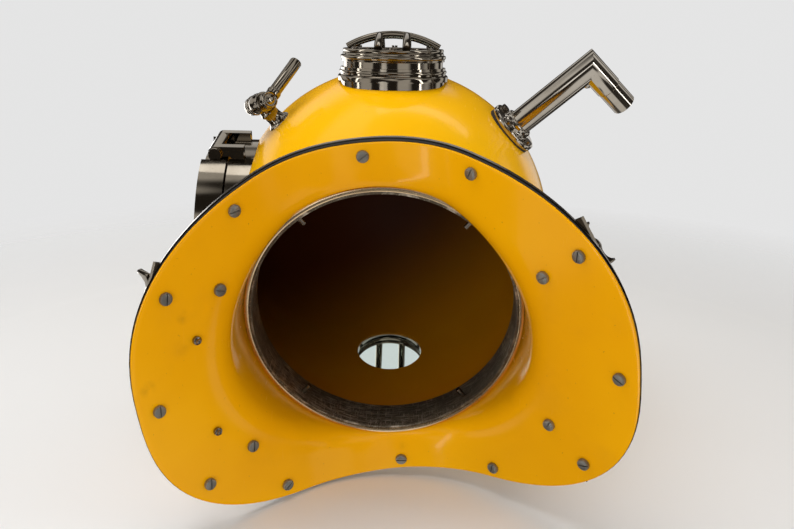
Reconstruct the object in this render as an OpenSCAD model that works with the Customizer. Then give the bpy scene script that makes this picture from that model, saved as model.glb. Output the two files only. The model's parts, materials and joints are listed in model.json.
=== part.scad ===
// Diving helmet of the twelve-bolt deep-sea pattern, about 480 mm tall.
// Frame: z up, front towards -y, wearer's left towards +x, z 0 under the corselet edges.

/* [Bonnet] */
// outer radius of the crown
bonnet_r = 158; // [145:1:165]
// height of the crown's centre
bonnet_zc = 321; // [305:1:335]
// wall thickness of the spun shell
bonnet_wall = 2.5; // [1.5:0.1:4]
// outer radius where the shell meets its neck ring
bonnet_foot_r = 119; // [112:0.5:124]

/* [Neck] */
// height of the lower edge of the neck opening
neck_z = 128; // [115:1:135]
// free radius of the neck opening
neck_r = 112; // [104:0.5:118]
// radius of the spigot of the bonnet's ring
spigot_r = 114.3; // [106:0.1:120]
// outer radius of both neck rings
neck_flange_r = 128; // [120:0.5:136]
// height of the bare metal band inside the neck
neck_band_h = 33; // [24:1:42]

/* [Corselet] */
// radius of the bend over the shoulders, to the top face of the sheet
shoulder_r = 120; // [105:1:135]
// slope of the chest side below the bend
chest_slope = 43.8; // [38:0.1:46]
// slope of the back side below the bend
back_slope = 40.7; // [32:0.1:44]
// thickness of the sheet
sheet_t = 2.2; // [1.5:0.1:3.5]
// half of the width over the shoulders
corselet_x = 158; // [150:1:180]
// reach of the chest edge in front of the neck axis
chest_y = 178.5; // [155:0.5:190]
// reach of the back edge behind the neck axis
back_y = 190; // [175:1:215]
// roundness of the outline, 2 is an ellipse
outline_n = 2.5; // [2:0.05:3.2]
// angle by which the bonnet stands short of its locked place on the thread
thread_short = 6.8; // [0:0.1:45]

/* [Rim] */
// width of the rim gasket and straps
rim_w = 22; // [16:1:30]
// thickness of the rim gasket
rim_gasket_t = 2.6; // [1.5:0.1:5]
// thickness of the rim straps
strap_t = 3.4; // [2:0.1:6]
// distance of the rim screws from the edge
rim_inset = 12; // [8:0.5:15]
// bearing on the outline of the shoulder screws behind the sides
shoulder_back_a = 23; // [18:0.5:30]
// bearing on the outline of the shoulder screws in front of the sides
shoulder_chest_a = 31; // [20:0.1:34]
// bearing on the outline of the strap joints at the back
joint_back_a = 56.4; // [50:0.1:64]
// bearing on the outline of the strap joints at the chest
joint_chest_a = 59.6; // [54:0.1:68]
// radius of a rim screw's shank
rim_screw_r = 3; // [2:0.1:4.5]
// radius of a rim screw's slotted head
rim_head_r = 5.7; // [5:0.1:7.5]

/* [Side windows] */
// height of a window's centre at the wall
window_z = 325; // [305:1:335]
// upward tilt of a window's axis
window_tilt = 12; // [0:1:25]
// radius of the opening in the shell
window_hole_r = 35; // [26:0.5:38]
// outer radius of the window's base
window_r = 50; // [44:0.5:56]
// height of the sealing face along the window's axis
window_face = 172; // [170:0.5:180]
// thickness of the window glass
window_glass_t = 6; // [4:0.5:9]
// height of the retaining ring
retainer_h = 7.5; // [7:0.5:14]
// radius of a guard bar
guard_bar_r = 3.2; // [2:0.1:4.5]
// rise of the guard bars over the ring
guard_rise = 12; // [8:0.5:20]
// distance of the two cross bars from the middle
guard_gap = 13; // [9:0.5:18]

/* [Faceplate] */
// height of the faceplate's centre
port_z = 303; // [290:1:315]
// outer radius of the faceplate ring
port_r = 91; // [85:0.5:105]
// distance of the seat's face from the neck axis
port_face = 152.5; // [152.5:0.5:160]
// radius of the opening in the seat
port_hole_r = 64; // [55:0.5:72]
// thickness of the faceplate ring
door_t = 24; // [22:0.5:32]
// thickness of the faceplate glass
door_glass_t = 10; // [6:0.5:14]
// distance of the hinge axis to the left of the middle
hinge_x = 90; // [86:0.5:98]
// distance of the hinge axis in front of the seat's face
hinge_out = 13; // [12:0.5:18]
// radius of the hinge pin
hinge_pin_r = 4; // [3:0.1:5]
// radius of the hinge knuckle
knuckle_r = 7; // [6.5:0.1:9]
// full opening angle of the faceplate
door_open = 105; // [60:5:110]

/* [Latch] */
// distance of the latch axis to the right of the middle
latch_x = 102; // [98:0.5:110]
// radius of the swing bolt
bolt_r = 3.5; // [2.5:0.1:4.5]
// reach of the swing bolt from its pivot
bolt_l = 60; // [58:1:76]
// radius of the swing bolt's pivot pin
bolt_pin_r = 3; // [2:0.1:4]
// angle between the stored bolt and its latched place
bolt_swing = 100; // [70:5:120]
// radius of the wing nut's body
wing_body_r = 8; // [6:0.5:10]
// reach of each wing from the bolt's axis
wing_reach = 19; // [14:0.5:24]
// travel of the wing nut
wing_travel = 8; // [5:0.5:10]

/* [Spitcock] */
// bearing of the spitcock, from wearer's left towards the front
spit_az = -43; // [-60:1:-35]
// rise of the spitcock over the level of the crown's centre
spit_el = -8; // [-20:1:25]
// turn of the spitcock about its own axis
spit_roll = 45; // [0:1:90]
// radius of the plug
plug_r = 5.5; // [4:0.1:7]
// length of the lever tube
lever_l = 50; // [30:1:60]
// outer radius of the lever tube
lever_r = 5; // [3.5:0.1:7]

/* [Air elbow] */
// bearing of the elbow, from wearer's left towards the back
elbow_az = 46; // [40:1:65]
// rise of the elbow over the level of the crown's centre
elbow_el = -6; // [-15:1:30]
// turn of the elbow about its own axis
elbow_roll = 99; // [0:1:120]
// outer radius of the tube
elbow_r = 12; // [9:0.1:14]
// wall of the tube
elbow_wall = 2; // [1:0.1:3]
// centre line length of the first arm
elbow_arm = 88; // [60:1:100]
// centre line length of the second arm
elbow_out = 53; // [35:1:65]
// outer radius of the flange
elbow_flange_r = 26; // [22:0.5:32]
// radius of the turned end that takes the air hose
hose_end_r = 11.3; // [9:0.1:11.5]
// length of the turned end
hose_end_l = 24; // [16:1:30]

/* [Hidden] */
$fn = 64;
gap = 0.3;
run = 0.05;
seat_fit = 0.1;
big = 400;
// neck
collar_in = spigot_r + 4.2;
collar_out = collar_in + sheet_t;
lower_ring_top = neck_z + 18;
neck_gasket_t = 2;
upper_ring_z = lower_ring_top + neck_gasket_t;
upper_flange_h = 9;
foot_z = upper_ring_z + upper_flange_h;
screw_z = neck_z + 14;
neck_screw_r = 2.2;
// bonnet profile
flank_dz = bonnet_zc - foot_z;
flank_dx = bonnet_r - bonnet_foot_r;
flank_r = (flank_dx * flank_dx + flank_dz * flank_dz) / (2 * flank_dx);
// corselet
bend_zc = neck_z - shoulder_r;
rim_top = rim_gasket_t + strap_t;
fit_hole = 0.25;
// how far each tightened wing nut of the strap joints stands turned
wing_turns = [-41, 55, 12, -8];
// places of the lanyard eyes
eyelet_back = [66, 130];
eyelet_chest = [73, -116];
// room that a flat head needs under the bent sheet
head_drop = rim_head_r * rim_head_r / (2 * (shoulder_r - sheet_t)) + 0.02;
// windows
window_dz = bonnet_zc - window_z;
window_wall_x = sqrt(flank_r * flank_r - window_dz * window_dz) - (flank_r - bonnet_r);
window_za = window_z - window_wall_x * tan(window_tilt);
window_in_r = window_hole_r;
glass_r = window_r - 8;
window_gasket_t = 1.5;
window_glass_z = window_face - window_glass_t + 0.9;
window_gasket_z = window_glass_z - window_gasket_t;
retainer_z = window_face + 1.2;
guard_z = retainer_z + retainer_h;
guard_ring_in = window_r - 9;
guard_ring_out = window_r - 2;
guard_ring_h = 3;
guard_seat_r = (guard_ring_in + guard_ring_out) / 2;
// faceplate
door_back = port_face + 1.6;
door_front = door_back + door_t;
door_in_r = port_hole_r - 3;
door_glass_r = port_hole_r + 7;
door_rebate = 10;
bezel_t = 7;
bezel_out_r = port_r - 8;
hinge_y = -(port_face + hinge_out);
arm_t = 8;
knuckle_h = 33;
hinge_half = knuckle_h / 2 + gap + arm_t;
hinge_z = port_z - 4;
pocket_x = hinge_x - knuckle_r - 4.2;
pin_head_r = 6.4;
pin_head_h = 3.2;
pocket_half = hinge_half + pin_head_h + 1;
// latch
pivot_y = -(port_face - 7);
eye_r = 7.5;
eye_h = 10;
ear_t = 7;
lug_front = door_front + 1;
lug_half = 11;
lug_out = latch_x + 8;
slot_half = bolt_r + 0.8;
nut_h = 14;
washer_t = 1.8;
nut_y = lug_front + 0.4 + wing_travel;
// spitcock
spit_plug_t = bonnet_r + 26;
plug_half = 13;
// elbow
elbow_pad_t = bonnet_r + 2.5;
elbow_face = elbow_pad_t + 5;

// elbow end, and the shift that puts the middle of the whole helmet's depth on y 0
elbow_tip_t = elbow_face + elbow_arm;
elbow_dir_y = cos(elbow_roll) * sin(elbow_el) * sin(elbow_az) + sin(elbow_roll) * cos(elbow_az);
elbow_tip_y = cos(elbow_el) * sin(elbow_az) * elbow_tip_t + elbow_dir_y * elbow_out
  + hose_end_r * sqrt(1 - elbow_dir_y * elbow_dir_y);
frame_y = (lug_front - elbow_tip_y) / 2;

// Helpers.
// the flanks leave the bend with a crease of a few degrees, so the two faces cross cleanly
crease = 2.5;
function arc_t(slope) = shoulder_r * sin(slope + crease);
function slope_at(y) = y >= 0 ? (y < arc_t(back_slope) ? asin(y / shoulder_r) : back_slope)
  : (-y < arc_t(chest_slope) ? asin(y / shoulder_r) : -chest_slope);
function line_z(d, slope) = (shoulder_r * cos(crease) - d * sin(slope)) / cos(slope);
function top_z(y) = bend_zc + (y >= 0
  ? (y < arc_t(back_slope) ? sqrt(shoulder_r * shoulder_r - y * y) : line_z(y, back_slope))
  : (-y < arc_t(chest_slope) ? sqrt(shoulder_r * shoulder_r - y * y) : line_z(-y, chest_slope)));
function sup(v) = sign(v) * pow(abs(v), 2 / outline_n);
function edge(a, inset) = [(corselet_x - inset) * sup(cos(a)),
  ((sin(a) < 0 ? chest_y : back_y) - inset) * sup(sin(a))];

// bearings of the rim screws, and of those that clamp the strap joints
plain_screws = [0, shoulder_back_a, 90, 180 - shoulder_back_a, 180, 180 + shoulder_chest_a, 270,
  360 - shoulder_chest_a];
joint_screws = [joint_back_a, 180 - joint_back_a, 180 + joint_chest_a, 360 - joint_chest_a];

// everything below the sheet's top face, moved outwards by t
module below(t) {
  r = shoulder_r + t;
  q = r * cos(crease);
  translate([0, 0, bend_zc]) rotate([0, 90, 0]) cylinder(r = r, h = 2 * big, center = true, $fn = 128);
  rotate([90, 0, 90]) linear_extrude(height = 2 * big, center = true)
    polygon([
      [0, bend_zc],
      [q * sin(back_slope), bend_zc + q * cos(back_slope)],
      [q * sin(back_slope) + big * cos(back_slope), bend_zc + q * cos(back_slope) - big * sin(back_slope)],
      [0, -2 * big],
      [-q * sin(chest_slope) - big * cos(chest_slope), bend_zc + q * cos(chest_slope) - big * sin(chest_slope)],
      [-q * sin(chest_slope), bend_zc + q * cos(chest_slope)]
    ]);
}

module sheet(low, high, inset_out, inset_in) {
  difference() {
    intersection() {
      below(high);
      linear_extrude(height = 150) polygon([for (a = [0:3:357]) edge(a, inset_out)]);
    }
    below(low);
    if (inset_in > 0) {
      translate([0, 0, -1]) linear_extrude(height = 200) polygon([for (a = [0:3:357]) edge(a, inset_in)]);
    }
  }
}

// puts its children on the sheet's top face at x, y, with local z along the normal
module on_sheet(x, y) {
  s = slope_at(y);
  translate([x, y, top_z(y)]) rotate([-s, 0, 0]) children();
}

module at_rim_screws() {
  for (a = concat(plain_screws, joint_screws)) {
    p = edge(a, rim_inset);
    on_sheet(p[0], p[1]) children();
  }
}

module at_eyelets() {
  for (s = [-1, 1]) {
    on_sheet(s * eyelet_back[0], eyelet_back[1]) children();
    on_sheet(s * eyelet_chest[0], eyelet_chest[1]) children();
  }
}

module ring(ri, ro, z0, z1) {
  difference() {
    translate([0, 0, z0]) cylinder(r = ro, h = z1 - z0, $fn = 128);
    translate([0, 0, z0 - 1]) cylinder(r = ri, h = z1 - z0 + 2, $fn = 128);
  }
}

module bonnet_solid(w) {
  rotate_extrude($fn = 128) intersection() {
    union() {
      translate([0, bonnet_zc]) circle(r = bonnet_r - w, $fn = 128);
      intersection() {
        translate([bonnet_r - flank_r, bonnet_zc]) circle(r = flank_r - w, $fn = 256);
        translate([0, foot_z - 20]) square([200, bonnet_zc - foot_z + 20]);
      }
    }
    translate([0, foot_z + gap / 3]) square([200, 400]);
  }
}

// the curve of the flank alone, carried on a little over the crown's centre, for pads that sit there
module flank_solid(w) {
  rotate_extrude($fn = 256) intersection() {
    translate([bonnet_r - flank_r, bonnet_zc]) circle(r = flank_r - w, $fn = 512);
    translate([0, bonnet_zc - 60]) square([200, 90]);
  }
}

module window_frame(s) {
  translate([0, 0, window_za]) rotate([0, s * (90 - window_tilt), 0]) children();
}

module port_frame() {
  translate([0, 0, port_z]) rotate([90, 0, 0]) children();
}

module spit_frame() {
  translate([0, 0, bonnet_zc]) rotate([0, 0, spit_az]) rotate([0, 90 - spit_el, 0])
    rotate([0, 0, spit_roll]) children();
}

module elbow_frame() {
  translate([0, 0, bonnet_zc]) rotate([0, 0, elbow_az]) rotate([0, 90 - elbow_el, 0])
    rotate([0, 0, elbow_roll]) children();
}

module slotted_head(r, h, slot) {
  difference() {
    cylinder(r = r, h = h, $fn = 32);
    translate([-r - 1, -slot / 2, h - 1.3]) cube([2 * r + 2, slot, 3]);
  }
}

module placed() {
  translate([0, frame_y, 0]) children();
}

// the corselet stands turned under the bonnet while the neck thread isn't home
module on_shoulders() {
  placed() rotate([0, 0, -thread_short]) children();
}

// Bonnet and neck.
module bonnet_shell() {
  color("gold") placed() difference() {
    bonnet_solid(0);
    bonnet_solid(bonnet_wall);
    translate([0, 0, foot_z - 1]) cylinder(r = bonnet_foot_r - bonnet_wall, h = 3);
    for (s = [-1, 1]) window_frame(s) {
      translate([0, 0, 90]) cylinder(r = window_hole_r, h = 120);
      translate([0, 0, window_gasket_z - 0.05]) cylinder(r = glass_r + seat_fit, h = 50, $fn = 96);
    }
    port_frame() translate([0, 0, 60]) cylinder(r = port_hole_r, h = 120, $fn = 128);
    spit_frame() translate([0, 0, 100]) cylinder(r = 3, h = 60);
    elbow_frame() translate([0, 0, 100]) cylinder(r = elbow_r - elbow_wall, h = 60);
    elbow_frame() for (a = [45:90:315]) rotate([0, 0, a]) translate([elbow_flange_r - 5.5, 0, 100])
      cylinder(r = 2.2, h = 60);
  }
}

module bonnet_neck_ring() {
  color("silver") placed() difference() {
    union() {
      ring(neck_r, spigot_r, neck_z + 1, foot_z);
      ring(neck_r, neck_flange_r - 1, upper_ring_z, foot_z);
      ring(neck_r, bonnet_foot_r - bonnet_wall - seat_fit, foot_z - 1, neck_z + neck_band_h + 2);
    }
    at_neck_screws() cylinder(r = neck_screw_r + seat_fit, h = 60);
  }
}

module neck_gasket() {
  color("saddlebrown") placed() ring(spigot_r + seat_fit, neck_flange_r - 1.5, lower_ring_top, upper_ring_z);
}

module corselet_neck_ring() {
  color("goldenrod") placed() difference() {
    union() {
      ring(spigot_r + seat_fit, collar_in - seat_fit, neck_z, lower_ring_top);
      ring(spigot_r + seat_fit, neck_flange_r, neck_z + 10, lower_ring_top);
    }
    at_neck_screws() cylinder(r = neck_screw_r + seat_fit, h = 60);
  }
}

module at_neck_screws() {
  for (a = [40, 140, 220, 320]) rotate([0, 0, a]) translate([100, 0, screw_z]) rotate([0, 90, 0]) children();
}

module neck_ring_screws() {
  color("silver") placed() at_neck_screws() {
    translate([0, 0, 3]) cylinder(r = neck_screw_r, h = neck_flange_r - 102.9, $fn = 32);
    translate([0, 0, neck_flange_r - 99.9]) slotted_head(4, 3, 1);
  }
}

// Corselet.
module corselet_shell() {
  color("gold") on_shoulders() difference() {
    union() {
      intersection() {
        sheet(-sheet_t, 0, 0, 0);
        translate([-big, -big, 0]) cube([2 * big, 2 * big, big]);
      }
      difference() {
        cylinder(r = collar_out, h = neck_z + 9.9, $fn = 128);
        below(-sheet_t);
      }
    }
    translate([0, 0, -1]) cylinder(r = collar_in, h = 200, $fn = 128);
    at_rim_screws() translate([0, 0, -10]) cylinder(r = rim_screw_r + fit_hole, h = 20);
    at_eyelets() translate([0, 0, -10]) cylinder(r = rim_screw_r + fit_hole, h = 20);
    at_chest_studs() translate([0, 0, -10]) cylinder(r = 2.2, h = 20);
  }
}

module at_chest_studs() {
  for (s = [-1, 1]) on_sheet(s * 42, -136) children();
}

module rim_gasket() {
  color("dimgray") on_shoulders() difference() {
    sheet(0.05, rim_gasket_t, 0.5, rim_w);
    at_rim_screws() translate([0, 0, -10]) cylinder(r = rim_screw_r + fit_hole, h = 20);
  }
}

module strap(a0, a1) {
  difference() {
    intersection() {
      sheet(rim_gasket_t + 0.05, rim_top, -0.8, rim_w - 1);
      translate([0, 0, -1]) linear_extrude(height = 200)
        polygon(concat([[0, 0]], [for (i = [0:8]) 320 * [cos(a0 + (a1 - a0) * i / 8), sin(a0 + (a1 - a0) * i / 8)]]));
    }
    at_rim_screws() translate([0, 0, -10]) cylinder(r = rim_screw_r + fit_hole, h = 30);
  }
}

module strap_left() {
  color("silver") on_shoulders() strap(-cut_front, cut_back);
}

module strap_right() {
  color("silver") on_shoulders() strap(180 - cut_back, 180 + cut_front);
}

module strap_chest() {
  color("silver") on_shoulders() strap(180 + cut_front + 0.15, 360 - cut_front - 0.15);
}

module strap_back() {
  color("silver") on_shoulders() strap(cut_back + 0.15, 180 - cut_back - 0.15);
}

// plan bearing of the joints between straps, at the joint screws
cut_back = atan2(edge(joint_back_a, rim_inset)[1], edge(joint_back_a, rim_inset)[0]);
cut_front = -atan2(edge(-joint_chest_a, rim_inset)[1], edge(-joint_chest_a, rim_inset)[0]);

module strap_joint_plates() {
  color("silver") on_shoulders() for (a = joint_screws) {
    p = edge(a, rim_inset);
    d = atan2(p[1], p[0]);
    on_sheet(p[0], p[1]) rotate([0, 0, d]) difference() {
      translate([-10, -24, rim_top + 0.1]) cube([20, 48, 3.2]);
      translate([0, 0, 0]) cylinder(r = rim_screw_r + fit_hole, h = 20);
    }
  }
}

module rim_screws() {
  color("silver") on_shoulders() at_rim_screws() {
    translate([0, 0, -sheet_t - head_drop - 3.4]) mirror([0, 0, 1]) translate([0, 0, -3.4]) slotted_head(rim_head_r, 3.4, 1.3);
    translate([0, 0, -sheet_t - 1]) cylinder(r = rim_screw_r, h = sheet_t + rim_top + 14, $fn = 32);
  }
}

module rim_nuts() {
  color("silver") on_shoulders() for (a = plain_screws) {
    p = edge(a, rim_inset);
    on_sheet(p[0], p[1]) difference() {
      union() {
        translate([0, 0, rim_top + 0.15]) cylinder(r = 8.5, h = 2, $fn = 48);
        translate([0, 0, rim_top + 2.1]) cylinder(r = 6.8, h = 7, $fn = 48);
      }
      cylinder(r = rim_screw_r + run, h = 40, $fn = 32);
    }
  }
}

module wing(r, reach, h, t) {
  cylinder(r = r, h = h * 0.7, $fn = 48);
  for (s = [-1, 1]) difference() {
    translate([s > 0 ? r - 2 : -reach, -t / 2, h * 0.1]) cube([reach - r + 2, t, h * 1.1]);
    translate([s * (r + 1), t, h * 1.3]) rotate([90, 0, 0]) cylinder(r = h * 0.55, h = 2 * t, $fn = 32);
  }
}

module joint_wing_nuts() {
  color("silver") on_shoulders() for (k = [0:3]) {
    p = edge(joint_screws[k], rim_inset);
    on_sheet(p[0], p[1]) rotate([0, 0, wing_turns[k]]) difference() {
      translate([0, 0, rim_top + 3.4]) wing(7, 17, 13, 4);
      cylinder(r = rim_screw_r + run, h = 40, $fn = 32);
    }
  }
}

module eyelet_lugs() {
  color("silver") on_shoulders() at_eyelets() difference() {
    union() {
      translate([0, 0, 0.05]) cylinder(r = 11, h = 3, $fn = 48);
      translate([-3, 0, 12]) rotate([0, 90, 0]) cylinder(r = 9, h = 6, $fn = 48);
      translate([-3, -6, 2]) cube([6, 12, 8]);
    }
    translate([-10, 0, 13]) rotate([0, 90, 0]) cylinder(r = 4.5, h = 20, $fn = 32);
    translate([0, 0, -1]) cylinder(r = rim_screw_r + run, h = 7, $fn = 32);
  }
}

module eyelet_screws() {
  color("silver") on_shoulders() at_eyelets() {
    translate([0, 0, -sheet_t - head_drop - 3.4]) mirror([0, 0, 1]) translate([0, 0, -3.4]) slotted_head(rim_head_r, 3.4, 1.3);
    translate([0, 0, -sheet_t - 1]) cylinder(r = rim_screw_r, h = sheet_t + 6.5, $fn = 32);
  }
}

module chest_studs() {
  color("silver") on_shoulders() at_chest_studs() {
    translate([0, 0, -sheet_t - 5]) cylinder(r = 2, h = sheet_t + 8, $fn = 32);
    translate([0, 0, -sheet_t - 3.1]) cylinder(r = 3.4, h = 3, $fn = 32);
    translate([0, 0, 0.1]) cylinder(r = 6, h = 4, $fn = 48);
    translate([0, 0, 4]) cylinder(r = 3.4, h = 7, $fn = 48);
    translate([0, 0, 11]) cylinder(r = 5.4, h = 3, $fn = 48);
  }
}

// Side windows.
module window_seat(s) {
  color("silver") placed() difference() {
    window_frame(s) difference() {
      union() {
        translate([0, 0, 120]) cylinder(r = window_r, h = window_face - 5.5 - 120, $fn = 96);
        translate([0, 0, 120]) cylinder(r = window_r - 2.5, h = window_face - 120, $fn = 96);
      }
      translate([0, 0, 100]) cylinder(r = window_in_r, h = 100);
      translate([0, 0, window_gasket_z]) cylinder(r = glass_r + seat_fit, h = 50, $fn = 96);
      at_window_screws() translate([0, 0, window_face - 5]) cylinder(r = 1.6 + seat_fit, h = 20, $fn = 24);
    }
    bonnet_solid(-0.05);
  }
}

module at_window_screws() {
  for (a = [0, 50, 130, 180, 230, 310]) rotate([0, 0, a]) translate([window_r - 5, 0, 0]) children();
}

module window_gasket(s) {
  color("dimgray") placed() window_frame(s) ring(window_in_r + 1, glass_r, window_gasket_z + 0.02, window_glass_z - 0.02);
}

module window_glass(s) {
  color("lightblue") placed() window_frame(s) translate([0, 0, window_glass_z])
    cylinder(r = glass_r, h = window_glass_t, $fn = 96);
}

module window_retainer(s) {
  color("silver") placed() window_frame(s) difference() {
    union() {
      ring(window_in_r + 2, window_r - 1, window_face + 0.1, window_face + 2.6);
      ring(window_in_r + 2, window_r, window_face + 2.5, window_face + 6.6);
      ring(window_in_r + 2, window_r - 1.6, window_face + 6.5, guard_z - 0.1);
    }
    translate([0, 0, window_face - 1]) cylinder(r = glass_r + seat_fit, h = window_glass_z + window_glass_t
      + 0.1 - window_face + 1, $fn = 96);
    at_window_screws() translate([0, 0, window_face - 5]) cylinder(r = 1.6 + seat_fit, h = 40, $fn = 24);
  }
}

module window_guard(s) {
  color("silver") placed() window_frame(s) difference() {
    union() {
      ring(guard_ring_in - 4, guard_ring_out, guard_z, guard_z + guard_ring_h);
      guard_arch(guard_seat_r - 1, guard_rise);
      for (k = [-1, 1]) rotate([0, 0, 90]) translate([k * guard_gap, 0, 0])
        guard_arch(sqrt((guard_seat_r - 1) * (guard_seat_r - 1) - guard_gap * guard_gap), guard_rise - 1.2);
    }
    at_window_screws() translate([0, 0, guard_z - 1]) cylinder(r = 1.6 + seat_fit, h = 20, $fn = 24);
  }
}

// one bent bar across the ring, along local y, with its feet in the ring
module guard_arch(half, rise) {
  ar = (half * half + rise * rise) / (2 * rise);
  ang = asin(half / ar);
  translate([0, 0, guard_z + guard_bar_r + 0.1 + rise - ar]) rotate([0, -90, 0]) rotate([0, 0, -ang])
    rotate_extrude(angle = 2 * ang, $fn = 128) translate([ar, 0]) circle(r = guard_bar_r, $fn = 24);
}

module window_screws(s) {
  color("silver") placed() window_frame(s) at_window_screws() {
    translate([0, 0, window_face - 4]) cylinder(r = 1.6, h = guard_z + guard_ring_h - window_face + 4.1, $fn = 24);
    translate([0, 0, guard_z + guard_ring_h + 0.05]) slotted_head(3, 1.8, 0.8);
  }
}

module window_seat_left() { window_seat(1); }
module window_gasket_left() { window_gasket(1); }
module window_glass_left() { window_glass(1); }
module window_retainer_left() { window_retainer(1); }
module window_guard_left() { window_guard(1); }
module window_screws_left() { window_screws(1); }
module window_seat_right() { window_seat(-1); }
module window_gasket_right() { window_gasket(-1); }
module window_glass_right() { window_glass(-1); }
module window_retainer_right() { window_retainer(-1); }
module window_guard_right() { window_guard(-1); }
module window_screws_right() { window_screws(-1); }

// Faceplate.
module faceplate_seat() {
  color("silver") placed() difference() {
    union() {
      port_frame() translate([0, 0, 70]) cylinder(r = port_r - 1, h = port_face - 70, $fn = 128);
      for (k = [-1, 1]) translate([hinge_x, 0, hinge_z + k * (knuckle_h / 2 + gap + arm_t / 2)]) {
        translate([-knuckle_r, hinge_y, -arm_t / 2]) cube([2 * knuckle_r, hinge_out + 14, arm_t]);
        translate([0, hinge_y, -arm_t / 2]) cylinder(r = knuckle_r, h = arm_t, $fn = 48);
      }
      for (k = [-1, 1]) translate([-latch_x, pivot_y, port_z + k * (eye_h / 2 + gap + ear_t / 2)]) {
        translate([0, -eye_r, -ear_t / 2]) cube([20, 2 * eye_r, ear_t]);
        translate([0, 0, -ear_t / 2]) cylinder(r = eye_r, h = ear_t, $fn = 48);
      }
    }
    port_frame() translate([0, 0, 60]) cylinder(r = port_hole_r, h = 120, $fn = 128);
    translate([hinge_x, hinge_y, hinge_z - 50]) cylinder(r = hinge_pin_r, h = 100, $fn = 48);
    translate([-latch_x, pivot_y, port_z - 30]) cylinder(r = bolt_pin_r, h = 60, $fn = 32);
    bonnet_solid(-0.05);
  }
}

module faceplate_gasket() {
  color("saddlebrown") placed() port_frame() ring(port_hole_r + 2, port_hole_r + 12, port_face + 0.05, door_back - 0.1);
}

module faceplate_ring() {
  color("silver") placed() difference() {
    union() {
      port_frame() difference() {
        translate([0, 0, door_back]) cylinder(r = port_r + 1, h = door_t, $fn = 128);
        translate([0, 0, 100]) cylinder(r = door_in_r, h = 120, $fn = 128);
        translate([0, 0, door_front - door_rebate - bezel_t]) cylinder(r = door_glass_r + seat_fit, h = 50, $fn = 128);
        translate([0, 0, door_front - bezel_t + 0.5]) cylinder(r = bezel_out_r + gap, h = 50, $fn = 128);
        at_bezel_screws() translate([0, 0, door_front - bezel_t - 8]) cylinder(r = 2 + seat_fit, h = 40, $fn = 24);
      }
      translate([-lug_out, -lug_front, port_z - lug_half]) cube([lug_out - port_r + 8, lug_front - door_back - 6, 2 * lug_half]);
    }
    translate([pocket_x, hinge_y - 40, hinge_z - pocket_half]) cube([40, 80, 2 * pocket_half]);
    translate([-latch_x, -big, port_z]) rotate([-90, 0, 0]) cylinder(r = slot_half, h = 2 * big);
    translate([-latch_x - 60, -big, port_z - slot_half]) cube([60, 2 * big, 2 * slot_half]);
  }
  color("silver") placed() difference() {
    translate([0, 0, hinge_z - knuckle_h / 2]) union() {
      translate([hinge_x, hinge_y, 0]) cylinder(r = knuckle_r, h = knuckle_h, $fn = 48);
      translate([pocket_x - 2, hinge_y - 4.5, 0]) cube([hinge_x - pocket_x + 2, 11, knuckle_h]);
    }
    translate([hinge_x, hinge_y, hinge_z - 50]) cylinder(r = hinge_pin_r + run, h = 100, $fn = 48);
  }
}

module at_bezel_screws() {
  for (a = [0:36:324]) rotate([0, 0, a + 18]) translate([bezel_out_r - 6, 0, 0]) children();
}

module faceplate_glass() {
  color("lightblue") placed() port_frame() translate([0, 0, door_front - door_rebate - bezel_t + 0.1])
    cylinder(r = door_glass_r, h = door_glass_t - 0.2, $fn = 128);
}

module faceplate_bezel() {
  color("silver") placed() port_frame() difference() {
    ring(door_in_r, bezel_out_r, door_front - bezel_t + 0.6, door_front - 0.4);
    at_bezel_screws() translate([0, 0, door_front - 30]) cylinder(r = 2 + seat_fit, h = 40, $fn = 24);
    at_bezel_screws() translate([0, 0, door_front - 2.4]) cylinder(r = 4, h = 10, $fn = 32);
  }
}

module bezel_screws() {
  color("silver") placed() port_frame() at_bezel_screws() {
    translate([0, 0, door_front - bezel_t - 7]) cylinder(r = 2, h = bezel_t + 5, $fn = 24);
    translate([0, 0, door_front - 2.3]) slotted_head(3.8, 2.2, 0.9);
  }
}

module hinge_pin() {
  color("silver") placed() translate([hinge_x, hinge_y, hinge_z]) {
    translate([0, 0, -hinge_half - 0.2]) cylinder(r = hinge_pin_r, h = 2 * hinge_half + 2.2, $fn = 48);
    translate([0, 0, -hinge_half - 0.1 - pin_head_h]) cylinder(r = pin_head_r, h = pin_head_h, $fn = 48);
  }
}

// Latch.
module swing_bolt() {
  color("silver") placed() translate([-latch_x, pivot_y, port_z]) difference() {
    union() {
      translate([0, 0, -eye_h / 2]) cylinder(r = eye_r, h = eye_h, $fn = 48);
      rotate([0, 0, 270 - bolt_swing]) rotate([90, 0, 90]) bolt_along();
    }
    translate([0, 0, -20]) cylinder(r = bolt_pin_r + run, h = 40, $fn = 32);
  }
}

module bolt_along() {
  translate([0, 0, 4]) cylinder(r = bolt_r, h = bolt_l - 4, $fn = 32);
}

module swing_bolt_pin() {
  color("silver") placed() translate([-latch_x, pivot_y, port_z]) {
    translate([0, 0, -eye_h / 2 - ear_t - 1]) cylinder(r = bolt_pin_r, h = eye_h + 2 * ear_t + 2, $fn = 32);
  }
}

module latch_wing_nut() {
  color("silver") placed() translate([-latch_x, pivot_y, port_z]) rotate([0, 0, 270 - bolt_swing]) rotate([90, 0, 90])
    translate([0, 0, nut_y + pivot_y + washer_t + 0.1]) rotate([0, 0, 90]) difference() {
    wing(wing_body_r, wing_reach, nut_h, 4);
    translate([0, 0, -1]) cylinder(r = bolt_r + run, h = 60, $fn = 32);
  }
}

module latch_washer() {
  color("silver") placed() translate([-latch_x, pivot_y, port_z]) rotate([0, 0, 270 - bolt_swing])
    rotate([90, 0, 90]) translate([0, 0, nut_y + pivot_y]) difference() {
    cylinder(r = wing_body_r + 0.8, h = washer_t, $fn = 48);
    translate([0, 0, -1]) cylinder(r = bolt_r + run, h = 20, $fn = 32);
  }
}

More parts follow.
